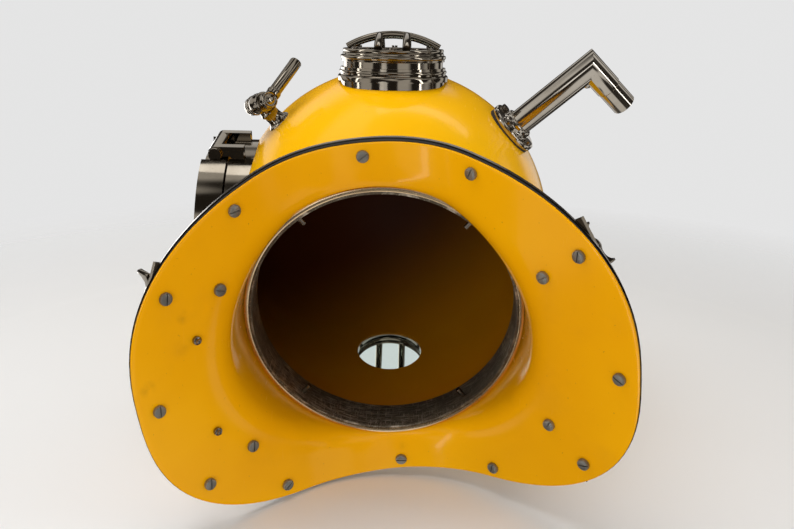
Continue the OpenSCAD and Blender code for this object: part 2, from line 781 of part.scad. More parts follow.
// Spitcock.
module spitcock_body() {
  color("silver") placed() difference() {
    spit_frame() difference() {
      union() {
        translate([0, 0, 130]) cylinder(r = 10, h = bonnet_r + 4 - 130, $fn = 48);
        translate([0, 0, bonnet_r + 3]) cylinder(r = 6.5, h = 16, $fn = 48);
        translate([-plug_half + 2, 0, spit_plug_t]) rotate([0, 90, 0]) cylinder(r = 9, h = 2 * plug_half - 4, $fn = 48);
      }
      translate([0, 0, 100]) cylinder(r = 3, h = spit_plug_t - 100, $fn = 32);
      translate([-40, 0, spit_plug_t]) rotate([0, 90, 0]) cylinder(r = plug_r + run, h = 80, $fn = 48);
      translate([0, 0, spit_plug_t]) cylinder(r = 3, h = 30, $fn = 32);
    }
    bonnet_solid(-0.05);
  }
}

module spitcock_plug() {
  color("silver") placed() spit_frame() translate([0, 0, spit_plug_t]) rotate([0, 90, 0]) difference() {
    union() {
      translate([0, 0, -plug_half - 3]) cylinder(r = plug_r, h = 2 * plug_half + 6, $fn = 48);
      translate([0, 0, plug_half - 1.6]) cylinder(r = 8, h = 11.4, $fn = 48);
    }
    translate([-20, 0, 0]) rotate([0, 90, 0]) cylinder(r = 2.4, h = 40, $fn = 32);
  }
}

module spitcock_lever() {
  color("silver") placed() spit_frame() translate([plug_half + 4.6, 0, spit_plug_t]) difference() {
    union() {
      rotate([-90, 0, 0]) translate([0, 0, 8.1]) cylinder(r = lever_r, h = lever_l - 8.1, $fn = 48);
      rotate([-90, 0, 0]) translate([0, 0, 6.2]) cylinder(r = 3.2, h = 4, $fn = 32);
      rotate([-90, 0, 0]) translate([0, 0, 8.1]) cylinder(r = lever_r + 1.2, h = 3, $fn = 48);
    }
    rotate([0, 90, 0]) translate([0, 0, -20]) cylinder(r = 8.05, h = 40, $fn = 48);
    rotate([-90, 0, 0]) translate([0, 0, lever_l - 22]) cylinder(r = lever_r - 1.2, h = 40, $fn = 48);
  }
}

module spitcock_nut() {
  color("silver") placed() spit_frame() translate([-plug_half - 1.4, 0, spit_plug_t]) rotate([0, 90, 0]) difference() {
    union() {
      translate([0, 0, -4]) cylinder(r = 8.5, h = 7, $fn = 48);
      translate([0, 0, -6]) cylinder(r = 5.5, h = 2.1, $fn = 48);
    }
    translate([0, 0, -2]) cylinder(r = plug_r + run, h = 20, $fn = 48);
  }
}

// Air elbow.
module elbow_gasket() {
  color("dimgray") placed() difference() {
    elbow_frame() ring(elbow_r + 2, elbow_flange_r - 0.5, 130, elbow_pad_t);
    flank_solid(-0.05);
    elbow_frame() at_elbow_screws() translate([0, 0, 100]) cylinder(r = 2.2, h = 80, $fn = 24);
  }
}

module at_elbow_screws() {
  for (a = [45:90:315]) rotate([0, 0, a]) translate([elbow_flange_r - 5.5, 0, 0]) children();
}

module elbow_flange() {
  color("silver") placed() elbow_frame() difference() {
    union() {
      translate([0, 0, elbow_pad_t + 0.05]) cylinder(r = elbow_flange_r, h = 4.9, $fn = 64);
      translate([0, 0, elbow_pad_t + 0.05]) cylinder(r = elbow_r + 3, h = 11, $fn = 64);
    }
    translate([0, 0, 100]) cylinder(r = elbow_r + seat_fit, h = 100, $fn = 64);
    at_elbow_screws() translate([0, 0, 100]) cylinder(r = 2.2, h = 80, $fn = 24);
  }
}

module elbow_tube() {
  corner = elbow_face + elbow_arm;
  color("silver") placed() elbow_frame() difference() {
    union() {
      intersection() {
        translate([0, 0, elbow_pad_t - 1]) cylinder(r = elbow_r, h = corner + 40 - elbow_pad_t, $fn = 64);
        mitre_side(corner, 1);
      }
      intersection() {
        translate([-40, 0, corner]) rotate([0, 90, 0]) cylinder(r = elbow_r, h = elbow_out + 39 - hose_end_l, $fn = 64);
        mitre_side(corner, -1);
      }
      translate([elbow_out - hose_end_l - 3, 0, corner]) rotate([0, 90, 0])
        cylinder(r = hose_end_r - 0.4, h = hose_end_l + 2, $fn = 64);
      translate([elbow_out - hose_end_l, 0, corner]) rotate([0, 90, 0])
        cylinder(r = hose_end_r, h = hose_end_l, $fn = 64);
      translate([elbow_r, 0, corner - elbow_r]) rotate([0, 0, 0]) sphere(r = 4.5, $fn = 32);
    }
    intersection() {
      translate([0, 0, 100]) cylinder(r = elbow_r - elbow_wall, h = 200, $fn = 64);
      mitre_side(corner, 1);
    }
    intersection() {
      translate([-40, 0, corner]) rotate([0, 90, 0]) cylinder(r = elbow_r - elbow_wall, h = 200, $fn = 64);
      mitre_side(corner, -1);
    }
  }
}

// the two sides of the mitre plane at the elbow's corner
module mitre_side(corner, s) {
  translate([0, 0, corner]) rotate([0, 45, 0])
    translate([-200, -200, s > 0 ? -400 : 0]) cube([400, 400, 400]);
}

module elbow_screws() {
  color("silver") placed() elbow_frame() at_elbow_screws() {
    translate([0, 0, bonnet_r - 7]) cylinder(r = 2, h = elbow_face - bonnet_r + 8, $fn = 24);
    translate([0, 0, elbow_face + 0.1]) slotted_head(4, 2.8, 1);
  }
}

bonnet_shell();
bonnet_neck_ring();
neck_gasket();
corselet_neck_ring();
neck_ring_screws();
corselet_shell();
rim_gasket();
strap_chest();
strap_back();
strap_left();
strap_right();
strap_joint_plates();
rim_screws();
rim_nuts();
joint_wing_nuts();
eyelet_lugs();
eyelet_screws();
chest_studs();
window_seat_left();
window_gasket_left();
window_glass_left();
window_retainer_left();
window_guard_left();
window_screws_left();
window_seat_right();
window_gasket_right();
window_glass_right();
window_retainer_right();
window_guard_right();
window_screws_right();
faceplate_seat();
faceplate_gasket();
faceplate_ring();
faceplate_glass();
faceplate_bezel();
bezel_screws();
hinge_pin();
swing_bolt();
swing_bolt_pin();
latch_washer();
latch_wing_nut();
spitcock_body();
spitcock_plug();
spitcock_lever();
spitcock_nut();
elbow_gasket();
elbow_flange();
elbow_tube();
elbow_screws();
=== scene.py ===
# %% [markdown]
# # A copper diving helmet, dressed in Blender
# The helmet was built first as solids, one for each piece that a fitter could pick up. This
# script loads those solids as a fixed frame, gives every piece its finish, and models again the
# pieces whose surfaces the eye follows most: the pressed sheet, the dome, the turned rings.
# The frame could be ignored and the whole helmet modelled afresh, but then nothing would promise
# that the pieces still fit, so each new piece takes the place of one solid, which is hidden.

# %% Load the solids
import json
import math
import random

import bpy
from mathutils import Matrix, Vector

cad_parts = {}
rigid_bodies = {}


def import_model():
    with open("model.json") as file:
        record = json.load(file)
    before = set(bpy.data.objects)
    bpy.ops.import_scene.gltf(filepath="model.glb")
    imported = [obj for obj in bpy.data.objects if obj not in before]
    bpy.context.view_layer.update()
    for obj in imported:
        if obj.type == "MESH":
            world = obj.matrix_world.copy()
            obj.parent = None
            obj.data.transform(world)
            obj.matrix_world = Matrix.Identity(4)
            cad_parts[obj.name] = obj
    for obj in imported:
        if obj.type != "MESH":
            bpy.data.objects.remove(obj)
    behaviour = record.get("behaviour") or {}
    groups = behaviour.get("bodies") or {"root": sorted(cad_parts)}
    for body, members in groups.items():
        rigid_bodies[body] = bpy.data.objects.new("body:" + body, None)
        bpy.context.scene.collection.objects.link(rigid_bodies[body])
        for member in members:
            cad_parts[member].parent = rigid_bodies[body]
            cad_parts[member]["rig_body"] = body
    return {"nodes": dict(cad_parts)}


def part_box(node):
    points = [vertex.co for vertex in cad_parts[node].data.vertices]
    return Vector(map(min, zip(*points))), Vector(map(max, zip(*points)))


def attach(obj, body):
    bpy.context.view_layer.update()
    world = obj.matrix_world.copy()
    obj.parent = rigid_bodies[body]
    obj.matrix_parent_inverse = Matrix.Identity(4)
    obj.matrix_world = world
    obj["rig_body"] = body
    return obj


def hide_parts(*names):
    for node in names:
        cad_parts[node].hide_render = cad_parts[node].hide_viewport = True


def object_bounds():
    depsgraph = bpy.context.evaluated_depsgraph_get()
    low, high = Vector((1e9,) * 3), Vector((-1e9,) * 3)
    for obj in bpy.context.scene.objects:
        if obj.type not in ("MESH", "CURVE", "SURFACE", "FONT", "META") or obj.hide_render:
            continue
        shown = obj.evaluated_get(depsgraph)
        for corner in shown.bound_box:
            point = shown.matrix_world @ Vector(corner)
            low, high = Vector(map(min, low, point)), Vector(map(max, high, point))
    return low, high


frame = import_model()
cad_box = [list(corner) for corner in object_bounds()]
MM = 0.001

# %% [markdown]
# The helmet has one axis, the neck's, and nearly everything is turned or placed about it. Its
# place could be typed in again, but then two files would hold the same number and could come to
# disagree. It is read instead from the neck gasket, a plain ring that sits on the axis.

# %% Find the neck axis and the levels along it
gasket_low, gasket_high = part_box("neck_gasket")
AXIS_Y = (gasket_low.y + gasket_high.y) / 2
SEAM_LOW, SEAM_HIGH = gasket_low.z, gasket_high.z
NECK_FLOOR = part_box("corselet_neck_ring")[0].z
DOME_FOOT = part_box("bonnet_shell")[0].z
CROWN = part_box("bonnet_shell")[1].z
print("neck axis at y", round(AXIS_Y, 4), "neck floor at z", round(NECK_FLOOR, 4))

# %% [markdown]
# Operators act on whatever is selected, and loading leaves every solid selected. A piece could
# be made from lists of points without any operator, but then nobody could follow it by hand in
# the window. These few helpers clear the selection first, apply a modifier, cut with a tool, and
# bake a piece's place into its mesh.


# %% Select, cut and place a piece
def start_fresh():
    if bpy.context.object and bpy.context.object.mode != "OBJECT":
        bpy.ops.object.mode_set(mode="OBJECT")
    bpy.ops.object.select_all(action="DESELECT")


def pick(piece):
    start_fresh()
    piece.select_set(True)
    bpy.context.view_layer.objects.active = piece


def apply_modifier(piece, kind, **settings):
    pick(piece)
    modifier = piece.modifiers.new(kind.lower(), kind)
    for name, value in settings.items():
        setattr(modifier, name, value)
    bpy.ops.object.modifier_apply(modifier=modifier.name)


def cylinder(radius, length, sides=48, **place):
    start_fresh()
    bpy.ops.mesh.primitive_cylinder_add(vertices=sides, radius=radius, depth=length, **place)
    return bpy.context.object


def cut(piece, tool, operation="DIFFERENCE"):
    """Cuts a tool out of a piece and throws the tool away."""
    apply_modifier(piece, "BOOLEAN", operation=operation, object=tool, solver="EXACT")
    bpy.data.objects.remove(tool)


def put_at(piece, place):
    pick(piece)
    piece.matrix_world = place
    bpy.ops.object.transform_apply(location=True, rotation=True, scale=True)


def soften(piece, angle):
    """Shades a piece smooth, except at edges sharper than the angle in degrees."""
    pick(piece)
    bpy.ops.object.shade_smooth_by_angle(angle=math.radians(angle))


# %% [markdown]
# A finished piece gets its finish and the body that carries it when the helmet's joints move, and
# the solid that it stands for is hidden. Where a piece is many, as the screws are, a modifier
# could repeat it in a row, but they stand at all angles. One is modelled and copied instead, each
# copy with its own mesh, and the copies are joined.


# %% Join, copy and hand over
def hand_over(piece, finish, stands_for):
    """Gives a finished piece its material and its body, and hides the solid that it stands for."""
    piece.data.materials.clear()
    piece.data.materials.append(finish)
    piece.name = piece.name.replace(" ", "_")
    carrier = frame["nodes"][stands_for]["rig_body"]
    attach(piece, carrier)
    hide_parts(stands_for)
    print("made", piece.name, "with", len(piece.data.polygons), "faces on", carrier)


def join(pieces, name):
    start_fresh()
    for piece in pieces:
        piece.select_set(True)
    bpy.context.view_layer.objects.active = pieces[0]
    bpy.ops.object.join()
    pieces[0].name = name
    return pieces[0]


def copies_at(master, places, name):
    """Copies a piece, each copy with its own mesh, to every place, and joins the copies."""
    copies = []
    for place in places:
        copy = master.copy()
        copy.data = master.data.copy()
        bpy.context.scene.collection.objects.link(copy)
        put_at(copy, place)
        copies.append(copy)
    bpy.data.objects.remove(master)
    return join(copies, name)


# %% [markdown]
# Half of this helmet was made on a lathe: rings, nuts, studs, plugs. Such a part could be cut
# from cylinders with Booleans, but its beads and soft corners are what catch the light, and they
# live in the section. So half of the section is drawn, and spun about its axis. It starts as one
# vertex, which is extruded from corner to corner.


# %% Turn a section into a ring
def in_mm(points, radius=0.0, height=0.0):
    """Points of a section in millimetres, counted from a radius and a height in metres."""
    return [(radius + out * MM, height + up * MM) for out, up in points]


def turned(name, section, place=Matrix.Identity(4), steps=128, edge=0.0):
    """section is a closed outline of (radius, height) points in metres about the local z axis."""
    start_fresh()
    bpy.ops.mesh.primitive_plane_add(size=1 * MM)
    piece = bpy.context.object
    piece.name = name
    bpy.ops.object.mode_set(mode="EDIT")
    bpy.ops.mesh.merge(type="CENTER")
    here = Vector((0, 0, 0))
    first = Vector((section[0][0], 0, section[0][1]))
    bpy.ops.transform.translate(value=first - here)
    here = first
    for radius, height in section[1:] + section[:1]:
        there = Vector((radius, 0, height))
        bpy.ops.mesh.extrude_region_move(TRANSFORM_OT_translate={"value": there - here})
        here = there
    bpy.ops.mesh.select_all(action="SELECT")
    bpy.ops.mesh.remove_doubles(threshold=0.01 * MM)
    bpy.ops.mesh.select_all(action="SELECT")
    bpy.ops.mesh.spin(steps=steps, angle=math.tau, center=(0, 0, 0), axis=(0, 0, 1))
    bpy.ops.mesh.select_all(action="SELECT")
    bpy.ops.mesh.remove_doubles(threshold=0.01 * MM)
    bpy.ops.mesh.normals_make_consistent(inside=False)
    bpy.ops.object.mode_set(mode="OBJECT")
    if edge:
        apply_modifier(piece, "BEVEL", width=edge, segments=2, limit_method="ANGLE",
                       angle_limit=math.radians(30))
    put_at(piece, place)
    soften(piece, 40)
    return piece


# %% [markdown]
# Where a solid already has the right shape, such as a flange trimmed to the dome, modelling it
# again would only add mistakes. A copy of it is merged into one skin, its flats are joined and
# its corners get a small bevel, so that it shades as machined metal does.


# %% Copy a solid and smooth its skin
def smoothed_copy(node, edge=0.0):
    source = frame["nodes"][node]
    piece = bpy.data.objects.new("smooth_" + node, source.data.copy())
    bpy.context.scene.collection.objects.link(piece)
    pick(piece)
    bpy.ops.object.mode_set(mode="EDIT")
    bpy.ops.mesh.select_all(action="SELECT")
    bpy.ops.mesh.remove_doubles(threshold=0.004 * MM)
    bpy.ops.mesh.select_all(action="SELECT")
    bpy.ops.mesh.dissolve_limited(angle_limit=math.radians(0.6))
    bpy.ops.object.mode_set(mode="OBJECT")
    if piece.data.has_custom_normals:
        bpy.ops.mesh.customdata_custom_splitnormals_clear()
    if edge:
        apply_modifier(piece, "BEVEL", width=edge, segments=2, limit_method="ANGLE",
                       angle_limit=math.radians(40), use_clamp_overlap=True)
    soften(piece, 32)
    apply_modifier(piece, "WEIGHTED_NORMAL", keep_sharp=True, weight=60)
    return piece


# %% [markdown]
# A finish is a small network of shader nodes. It could be drawn in the node editor, but a mask
# that is a sum of four others is easier to read as a sum. This class wraps one socket, and its
# operators add Math nodes, so that the arithmetic of masks is written as ordinary Python.


# %% Write shader maths as Python
class Wire:
    """One value in a finish. Its operators add Math nodes."""

    def __init__(self, finish, socket):
        self.finish = finish
        self.socket = socket

    def maths(self, operation, first, second):
        return self.finish.node("ShaderNodeMath", {"operation": operation}, {0: first, 1: second})

    def __add__(self, other):
        return self.maths("ADD", self, other)

    __radd__ = __add__

    def __sub__(self, other):
        return self.maths("SUBTRACT", self, other)

    def __rsub__(self, other):
        return self.maths("SUBTRACT", other, self)

    def __mul__(self, other):
        return self.maths("MULTIPLY", self, other)

    __rmul__ = __mul__

    def or_more(self, other):
        return self.maths("MAXIMUM", self, other)

    def at_most(self, limit):
        return self.maths("MINIMUM", self, limit)


# %% [markdown]
# The material itself is a second class. A method for every kind of node would be long, so one
# method takes the kind, its settings, and what goes into its sockets, a value or a wire. The few
# that come back in every finish have a short name: noise, blend, bump, and a round spot.


# %% Make the nodes of a finish
class Finish:
    """A material whose nodes are added by one method."""

    def __init__(self, name):
        self.material = bpy.data.materials.new(name)
        self.material.use_nodes = True
        self.tree = self.material.node_tree
        self.shader = self.tree.nodes["Principled BSDF"]
        self.place = self.node("ShaderNodeTexCoord", output="Object")

    def node(self, kind, settings=None, inputs=None, output=0):
        made = self.tree.nodes.new(kind)
        for name, value in (settings or {}).items():
            if name == "stops":
                for number, (position, colour) in enumerate(value):
                    stops = made.color_ramp.elements
                    stop = stops[number] if number < 2 else stops.new(position)
                    stop.position, stop.color = position, (*colour, 1)
            else:
                setattr(made, name, value)
        for name, value in (inputs or {}).items():
            if isinstance(value, Wire):
                self.tree.links.new(value.socket, made.inputs[name])
            else:
                made.inputs[name].default_value = value
        return Wire(self, made.outputs[output])

    def noise(self, scale, detail=2.0, rough=0.5, place=None):
        sockets = {"Vector": place or self.place, "Scale": scale,
                   "Detail": detail, "Roughness": rough}
        return self.node("ShaderNodeTexNoise", None, sockets)

    def stretched(self, sizes, turn=(0, 0, 0)):
        sockets = {"Vector": self.place, "Scale": sizes, "Rotation": turn}
        return self.node("ShaderNodeMapping", None, sockets)

    def between(self, value, low, high, new_low=0.0, new_high=1.0):
        sockets = {"Value": value, "From Min": low, "From Max": high,
                   "To Min": new_low, "To Max": new_high}
        return self.node("ShaderNodeMapRange", {"clamp": True}, sockets)

    def blend(self, amount, first, second):
        sockets = {0: amount, 6: colour(first), 7: colour(second)}
        return self.node("ShaderNodeMix", {"data_type": "RGBA"}, sockets, output=2)

    def bump(self, height, strength, distance):
        sockets = {"Height": height, "Strength": strength, "Distance": distance}
        return self.node("ShaderNodeBump", None, sockets)

    def spot(self, centre, radius, soft=0.5):
        """A round patch about a point, 1 inside and 0 outside."""
        away = self.node("ShaderNodeVectorMath", {"operation": "DISTANCE"},
                         {0: self.place, 1: centre}, output="Value")
        return self.between(away, radius * (1 - soft), radius, 1.0, 0.0)

    def set(self, **sockets):
        for name, value in sockets.items():
            socket = self.shader.inputs[name.replace("_", " ")]
            if isinstance(value, Wire):
                self.tree.links.new(value.socket, socket)
            else:
                socket.default_value = value
        return self.material


def colour(value):
    if isinstance(value, Wire):
        return value
    return (*value, 1.0)


# %% [markdown]
# The helmet is sprayed in a warm yellow enamel, thick and smooth. Close up it isn't even: the
# coat is a little deeper where it pooled, duller where hands and straps rubbed, and it has
# specks, hairline scratches and faint dark smudges. A painted image could hold all that, but it
# would need the pieces unwrapped and would blur close up. Here it is noise, read from the
# object's own coordinates, so it stays put when the piece moves. The shine is kept low, because
# the photographed yellow is deep and hardly veiled by reflections.


# %% Yellow enamel
DARK_GRIME = (0.055, 0.030, 0.010)


def enamel(name, light, deep, smudges=(), gloss=0.14):
    paint = Finish(name)
    pooled = paint.between(paint.noise(7.0, 3.0), 0.35, 0.65)
    base = paint.blend(pooled, light, deep)
    dirt = paint.between(paint.noise(16.0, 8.0, 0.62), 0.56, 0.78)
    specks = paint.between(paint.noise(420.0, 2.0), 0.74, 0.78)
    hairs = paint.noise(9.0, 4.0, 0.6, paint.stretched((6, 95, 6), (0.3, 0.2, 0.7)))
    hairline = paint.between(hairs, 0.655, 0.69)
    marks = dirt * 0.07 + specks * 0.55
    for centre, radius, depth in smudges:
        grime = paint.between(paint.noise(90.0, 6.0), 0.40, 0.75)
        marks = marks + paint.spot(centre, radius, 0.9) * grime * depth
    worn = paint.blend(marks.at_most(0.9), base, DARK_GRIME)
    rough = dirt * 0.12 + hairline * 0.12 + specks * 0.3 + paint.noise(30.0, 3.0) * 0.05 + gloss
    peel = paint.noise(240.0, 2.0) + hairline * -0.3 + specks * -0.6
    coat = 0.16 - dirt * 0.08 - specks * 0.1
    return paint.set(Base_Color=worn, Roughness=rough, Coat_Weight=coat, Coat_Roughness=0.06,
                     Specular_IOR_Level=0.12, Normal=paint.bump(peel, 0.05, 0.4 * MM))


# Each smudge has its centre and radius in metres, and how dark it is.
SHEET_SMUDGES = [((0.047, -0.169, 0.039), 0.007, 0.30), ((0.001, -0.193, 0.011), 0.008, 0.35),
                 ((-0.051, 0.075, 0.086), 0.014, 0.16), ((-0.132, -0.004, 0.126), 0.007, 0.2),
                 ((0.024, -0.170, 0.036), 0.010, 0.12)]
YELLOW = enamel("yellow enamel", (0.90, 0.465, 0.002), (0.88, 0.435, 0.002))
# The corselet's enamel is the dome's made darker and more orange: painted shade for its underside.
SHEET_YELLOW_WITH_PAINTED_SHADE = enamel("yellow enamel of the corselet", (0.85, 0.395, 0.0015), (0.79, 0.345, 0.001),
                      SHEET_SMUDGES)
print("mixed", YELLOW.name, "and", SHEET_YELLOW_WITH_PAINTED_SHADE.name)

# %% [markdown]
# The fittings are brass under polished nickel that has gone warm and a little smoky, so they
# mirror the room darkly and the yellow dome in amber. A plain grey with some gloss would look
# like plastic. This metal drifts towards brown in a slow noise, has fine pits, and a stretched
# noise leaves the marks of the polishing wheel. One function makes all five metals, because they
# differ only in colour, roughness and the way they were brushed. The elbow's nickel is the polished
# nickel made paler, as painted light, so that the elbow doesn't mirror the room too darkly.


# %% Nickel, bare metal, bronze and steel
def metal(name, light, dark, rough, tarnish=0.5, brushed=(4, 4, 60), depth=0.02, bare=1.0):
    """bare is how much of the surface is metal; the rest is dust and dried polish."""
    plate = Finish(name)
    cloud = plate.between(plate.noise(28.0, 5.0, 0.6), 0.42, 0.72)
    pits = plate.between(plate.noise(520.0, 2.0), 0.70, 0.76)
    lines = plate.noise(60.0, 3.0, 0.6, plate.stretched(brushed))
    base = plate.blend((cloud * tarnish + pits * 0.5).at_most(1.0), light, dark)
    roughness = cloud * 0.06 + lines * 0.05 + pits * 0.15 + rough
    height = lines * 0.6 + pits * -0.8
    return plate.set(Base_Color=base, Metallic=bare, Roughness=roughness,
                     Normal=plate.bump(height, depth, 0.2 * MM))


NICKEL = metal("polished nickel", (0.30, 0.265, 0.215), (0.13, 0.098, 0.068), 0.045, 0.35)
DULL_NICKEL = metal("rubbed nickel", (0.24, 0.21, 0.175), (0.10, 0.075, 0.05), 0.20, 0.6, depth=0.06)
# A paler copy of the polished nickel: painted light for the elbow and its flange.
NICKEL_WITH_PAINTED_LIGHT = metal("nickel with painted light", (0.52, 0.48, 0.42), (0.26, 0.21, 0.155), 0.05, 0.35)
BRONZE = metal("bronze of the neck ring", (0.92, 0.70, 0.44), (0.42, 0.28, 0.14), 0.20, 0.5,
               brushed=(60, 60, 4), depth=0.06)
STEEL = metal("brushed screw steel", (0.29, 0.275, 0.245), (0.11, 0.10, 0.085), 0.36, 0.7,
              brushed=(90, 8, 8), depth=0.15, bare=0.8)
print("mixed", NICKEL.name, NICKEL_WITH_PAINTED_LIGHT.name, DULL_NICKEL.name, BRONZE.name, STEEL.name)


# %% [markdown]
# The inside of the neck is bare metal that every head has scraped: dark where it was left alone,
# streaked with bright scratches that run round and up the band. Scratches could be modelled, but
# they are far finer than any mesh. Two noises do it, one stretched round the neck and one
# stretched up it, and a third says where the band was scraped most.


# %% Scraped band of the neck
def scraped_band():
    band = Finish("scraped bare metal")
    round_scratch = band.between(band.noise(26.0, 6.0, 0.7, band.stretched((3, 3, 60))), 0.50, 0.62)
    up_scratch = band.between(band.noise(40.0, 5.0, 0.7, band.stretched((22, 22, 2.0))), 0.56, 0.66)
    patch = band.between(band.noise(18.0, 6.0, 0.65), 0.40, 0.62)
    bright = (round_scratch * 0.8).or_more(up_scratch * 0.9) * (patch * 0.8 + 0.2)
    base = band.blend(bright, (0.13, 0.105, 0.075), (1.0, 0.88, 0.70))
    height = round_scratch * -1.0 + up_scratch * -0.6 + band.noise(160.0, 4.0) * 0.5
    return band.set(Base_Color=base, Metallic=0.9, Roughness=0.52 - bright * 0.22,
                    Normal=band.bump(height, 0.35, 0.4 * MM))


# %% [markdown]
# The panes are thick plate glass with a little haze. The joints are packed with black rubber,
# and the neck and the faceplate with oiled leather. Only their edges show, so one function makes
# both packings: a fine grain over a slow change of tone, dull and slightly rough.


# %% Glass, rubber and leather
def clear_glass():
    pane = Finish("plate glass")
    haze = pane.between(pane.noise(22.0, 5.0), 0.45, 0.8)
    return pane.set(Base_Color=(0.80, 0.90, 0.86, 1), Roughness=haze * 0.10 + 0.02, IOR=1.5,
                    Transmission_Weight=1.0)


def packing(name, light, dark, rough):
    pack = Finish(name)
    grain = pack.noise(190.0, 6.0, 0.6)
    tone = pack.between(pack.noise(20.0, 5.0), 0.35, 0.7)
    return pack.set(Base_Color=pack.blend(tone * 0.6 + grain * 0.4, light, dark),
                    Roughness=rough + grain * 0.15, Normal=pack.bump(grain, 0.25, 0.3 * MM))


SCRAPED = scraped_band()
GLASS = clear_glass()
RUBBER = packing("black rubber", (0.030, 0.030, 0.030), (0.012, 0.012, 0.013), 0.62)
LEATHER = packing("oiled leather", (0.10, 0.045, 0.018), (0.035, 0.016, 0.008), 0.55)
print("mixed", SCRAPED.name, GLASS.name, RUBBER.name, LEATHER.name)

# %% [markdown]
# Inside, the dome's paint carries painted shade: yellow brown near the neck, towards its back,
# and nearly black in the crown. The lamps alone could give the darkness, but a deep bowl lights
# itself too evenly, so the paint carries part of the shade. One direction, towards the back of the
# neck, is measured by a dot product, and squared to make the change slow at the dark end.


# %% Paint inside the dome, with painted shade
def inside_coat_with_painted_shade():
    """Inside paint with painted shade, dark in the crown; dull and drier than the outside."""
    coat = Finish("enamel inside the bonnet")
    # Painted light and shade: the paint is paler towards this side, where the lamps reach in through the
    # neck.
    lit_side = (-0.5, 0.6, -0.6)
    towards = coat.node("ShaderNodeVectorMath", {"operation": "DOT_PRODUCT"},
                        {0: coat.place, 1: lit_side}, output="Value")
    painted_light_share = coat.between(towards + coat.noise(6.0, 2.0) * 0.03, -0.26, -0.02)
    painted_shade_tone = coat.blend(painted_light_share * painted_light_share, (0.030, 0.006, 0.0003), (0.95, 0.37, 0.002))
    specks = coat.between(coat.noise(300.0, 2.0), 0.74, 0.79)
    base = coat.blend(specks * 0.5, painted_shade_tone, (0.03, 0.014, 0.004))
    rough = coat.noise(40.0, 4.0) * 0.15 + 0.40
    return coat.set(Base_Color=base, Roughness=rough, Specular_IOR_Level=0.1,
                    Normal=coat.bump(coat.noise(120.0, 3.0), 0.06, 0.3 * MM))


INSIDE = inside_coat_with_painted_shade()
print("mixed", INSIDE.name)

# %% [markdown]
# ## The corselet
# The corselet is one sheet of copper, bent like a saddle over the shoulders and drawn up round
# the neck in a soft flare. In the photograph it fills most of the picture from below, so its
# surface has to flow. A flat grid that a modifier bends would stretch at the collar. A better way
# is to say how high the sheet is at each place, and these functions do: an arc over the shoulders,
# straight slopes on chest and back, a rounded outline, and a curve from the sheet into the
# collar. The bonnet isn't screwed quite home in the photograph, so everything on the corselet is
# turned a little about the neck once it has been made.

# %% Shape of the bent sheet
SHOULDER_R = 120 * MM
CHEST_SLOPE, BACK_SLOPE = math.radians(43.8), math.radians(40.7)
SHEET_T = 2.2 * MM
HALF_WIDTH, CHEST_REACH, BACK_REACH = 158 * MM, 178.5 * MM, 190 * MM
# The outline is a superellipse: power 2 would be an ellipse, and a higher one is squarer.
OUTLINE_POWER = 2.5
# The sheet ends this far inside its gasket, whose black edge then shows as a dark line.
EDGE_SHORT = 1.8 * MM
# Radius of the collar's inner wall, and how wide the curve between collar and sheet is.
COLLAR_IN, FLARE = 118.5 * MM, 19 * MM
BEND_Z = NECK_FLOOR - SHOULDER_R
THREAD_SHORT = math.radians(6.8)
SHOULDERS = Matrix.Translation((0, AXIS_Y, 0)) @ Matrix.Rotation(-THREAD_SHORT, 4, "Z")


def sheet_top(y):
    """Height of the sheet's upper face at a distance y behind the neck axis."""
    slope = BACK_SLOPE if y > 0 else CHEST_SLOPE
    run = abs(y)
    if run < SHOULDER_R * math.sin(slope):
        return BEND_Z + math.sqrt(SHOULDER_R**2 - run**2)
    return BEND_Z + (SHOULDER_R - run * math.sin(slope)) / math.cos(slope)


def outline_reach(bearing):
    """Plan distance from the neck axis to the sheet's edge, a little inside the gasket's."""
    reach_y = BACK_REACH if math.sin(bearing) > 0 else CHEST_REACH
    across = abs(math.cos(bearing) / HALF_WIDTH) ** OUTLINE_POWER
    along = abs(math.sin(bearing) / reach_y) ** OUTLINE_POWER
    return (across + along) ** (-1 / OUTLINE_POWER) - EDGE_SHORT


def under_face(bearing, reach):
    """Height of the sheet's under face."""
    return sheet_top(reach * math.sin(bearing)) - SHEET_T


def flare_point(bearing, share):
    """A curve from the collar's wall, at share 0, into the sheet's under face, at share 1."""
    corner = under_face(bearing, COLLAR_IN)
    rise = min(FLARE, NECK_FLOOR + 1.5 * MM - corner)
    tail = COLLAR_IN + FLARE
    wall, bend, end = (1 - share) ** 2, 2 * share * (1 - share), share**2
    reach = wall * COLLAR_IN + bend * COLLAR_IN + end * tail
    height = wall * (corner + rise) + bend * corner + end * under_face(bearing, tail)
    return reach, height


print("sheet falls", round((sheet_top(0) - sheet_top(-CHEST_REACH)) / MM), "mm over the chest and",
      round((sheet_top(0) - sheet_top(BACK_REACH)) / MM), "mm over the back")

# %% [markdown]
# With the shape known, the sheet is grown outwards from the neck. Each ring is an extrusion of
# the last one, moved to where the functions say, so the faces run round the neck and then fan out
# to the rim, as the grain of hammered metal would.

# %% Grow the sheet ring by ring
BEARINGS = 240
FLARE_RINGS, SHEET_RINGS = 7, 16


def grow_ring(piece, place):
    """Extrudes the selected open edge; place(bearing) says where each new vertex goes."""
    bpy.ops.mesh.extrude_edges_move()
    bpy.ops.object.mode_set(mode="OBJECT")
    for vertex in piece.data.vertices:
        if vertex.select:
            bearing = math.atan2(vertex.co.y, vertex.co.x)
            reach, height = place(bearing)
            vertex.co = (reach * math.cos(bearing), reach * math.sin(bearing), height)
    bpy.ops.object.mode_set(mode="EDIT")


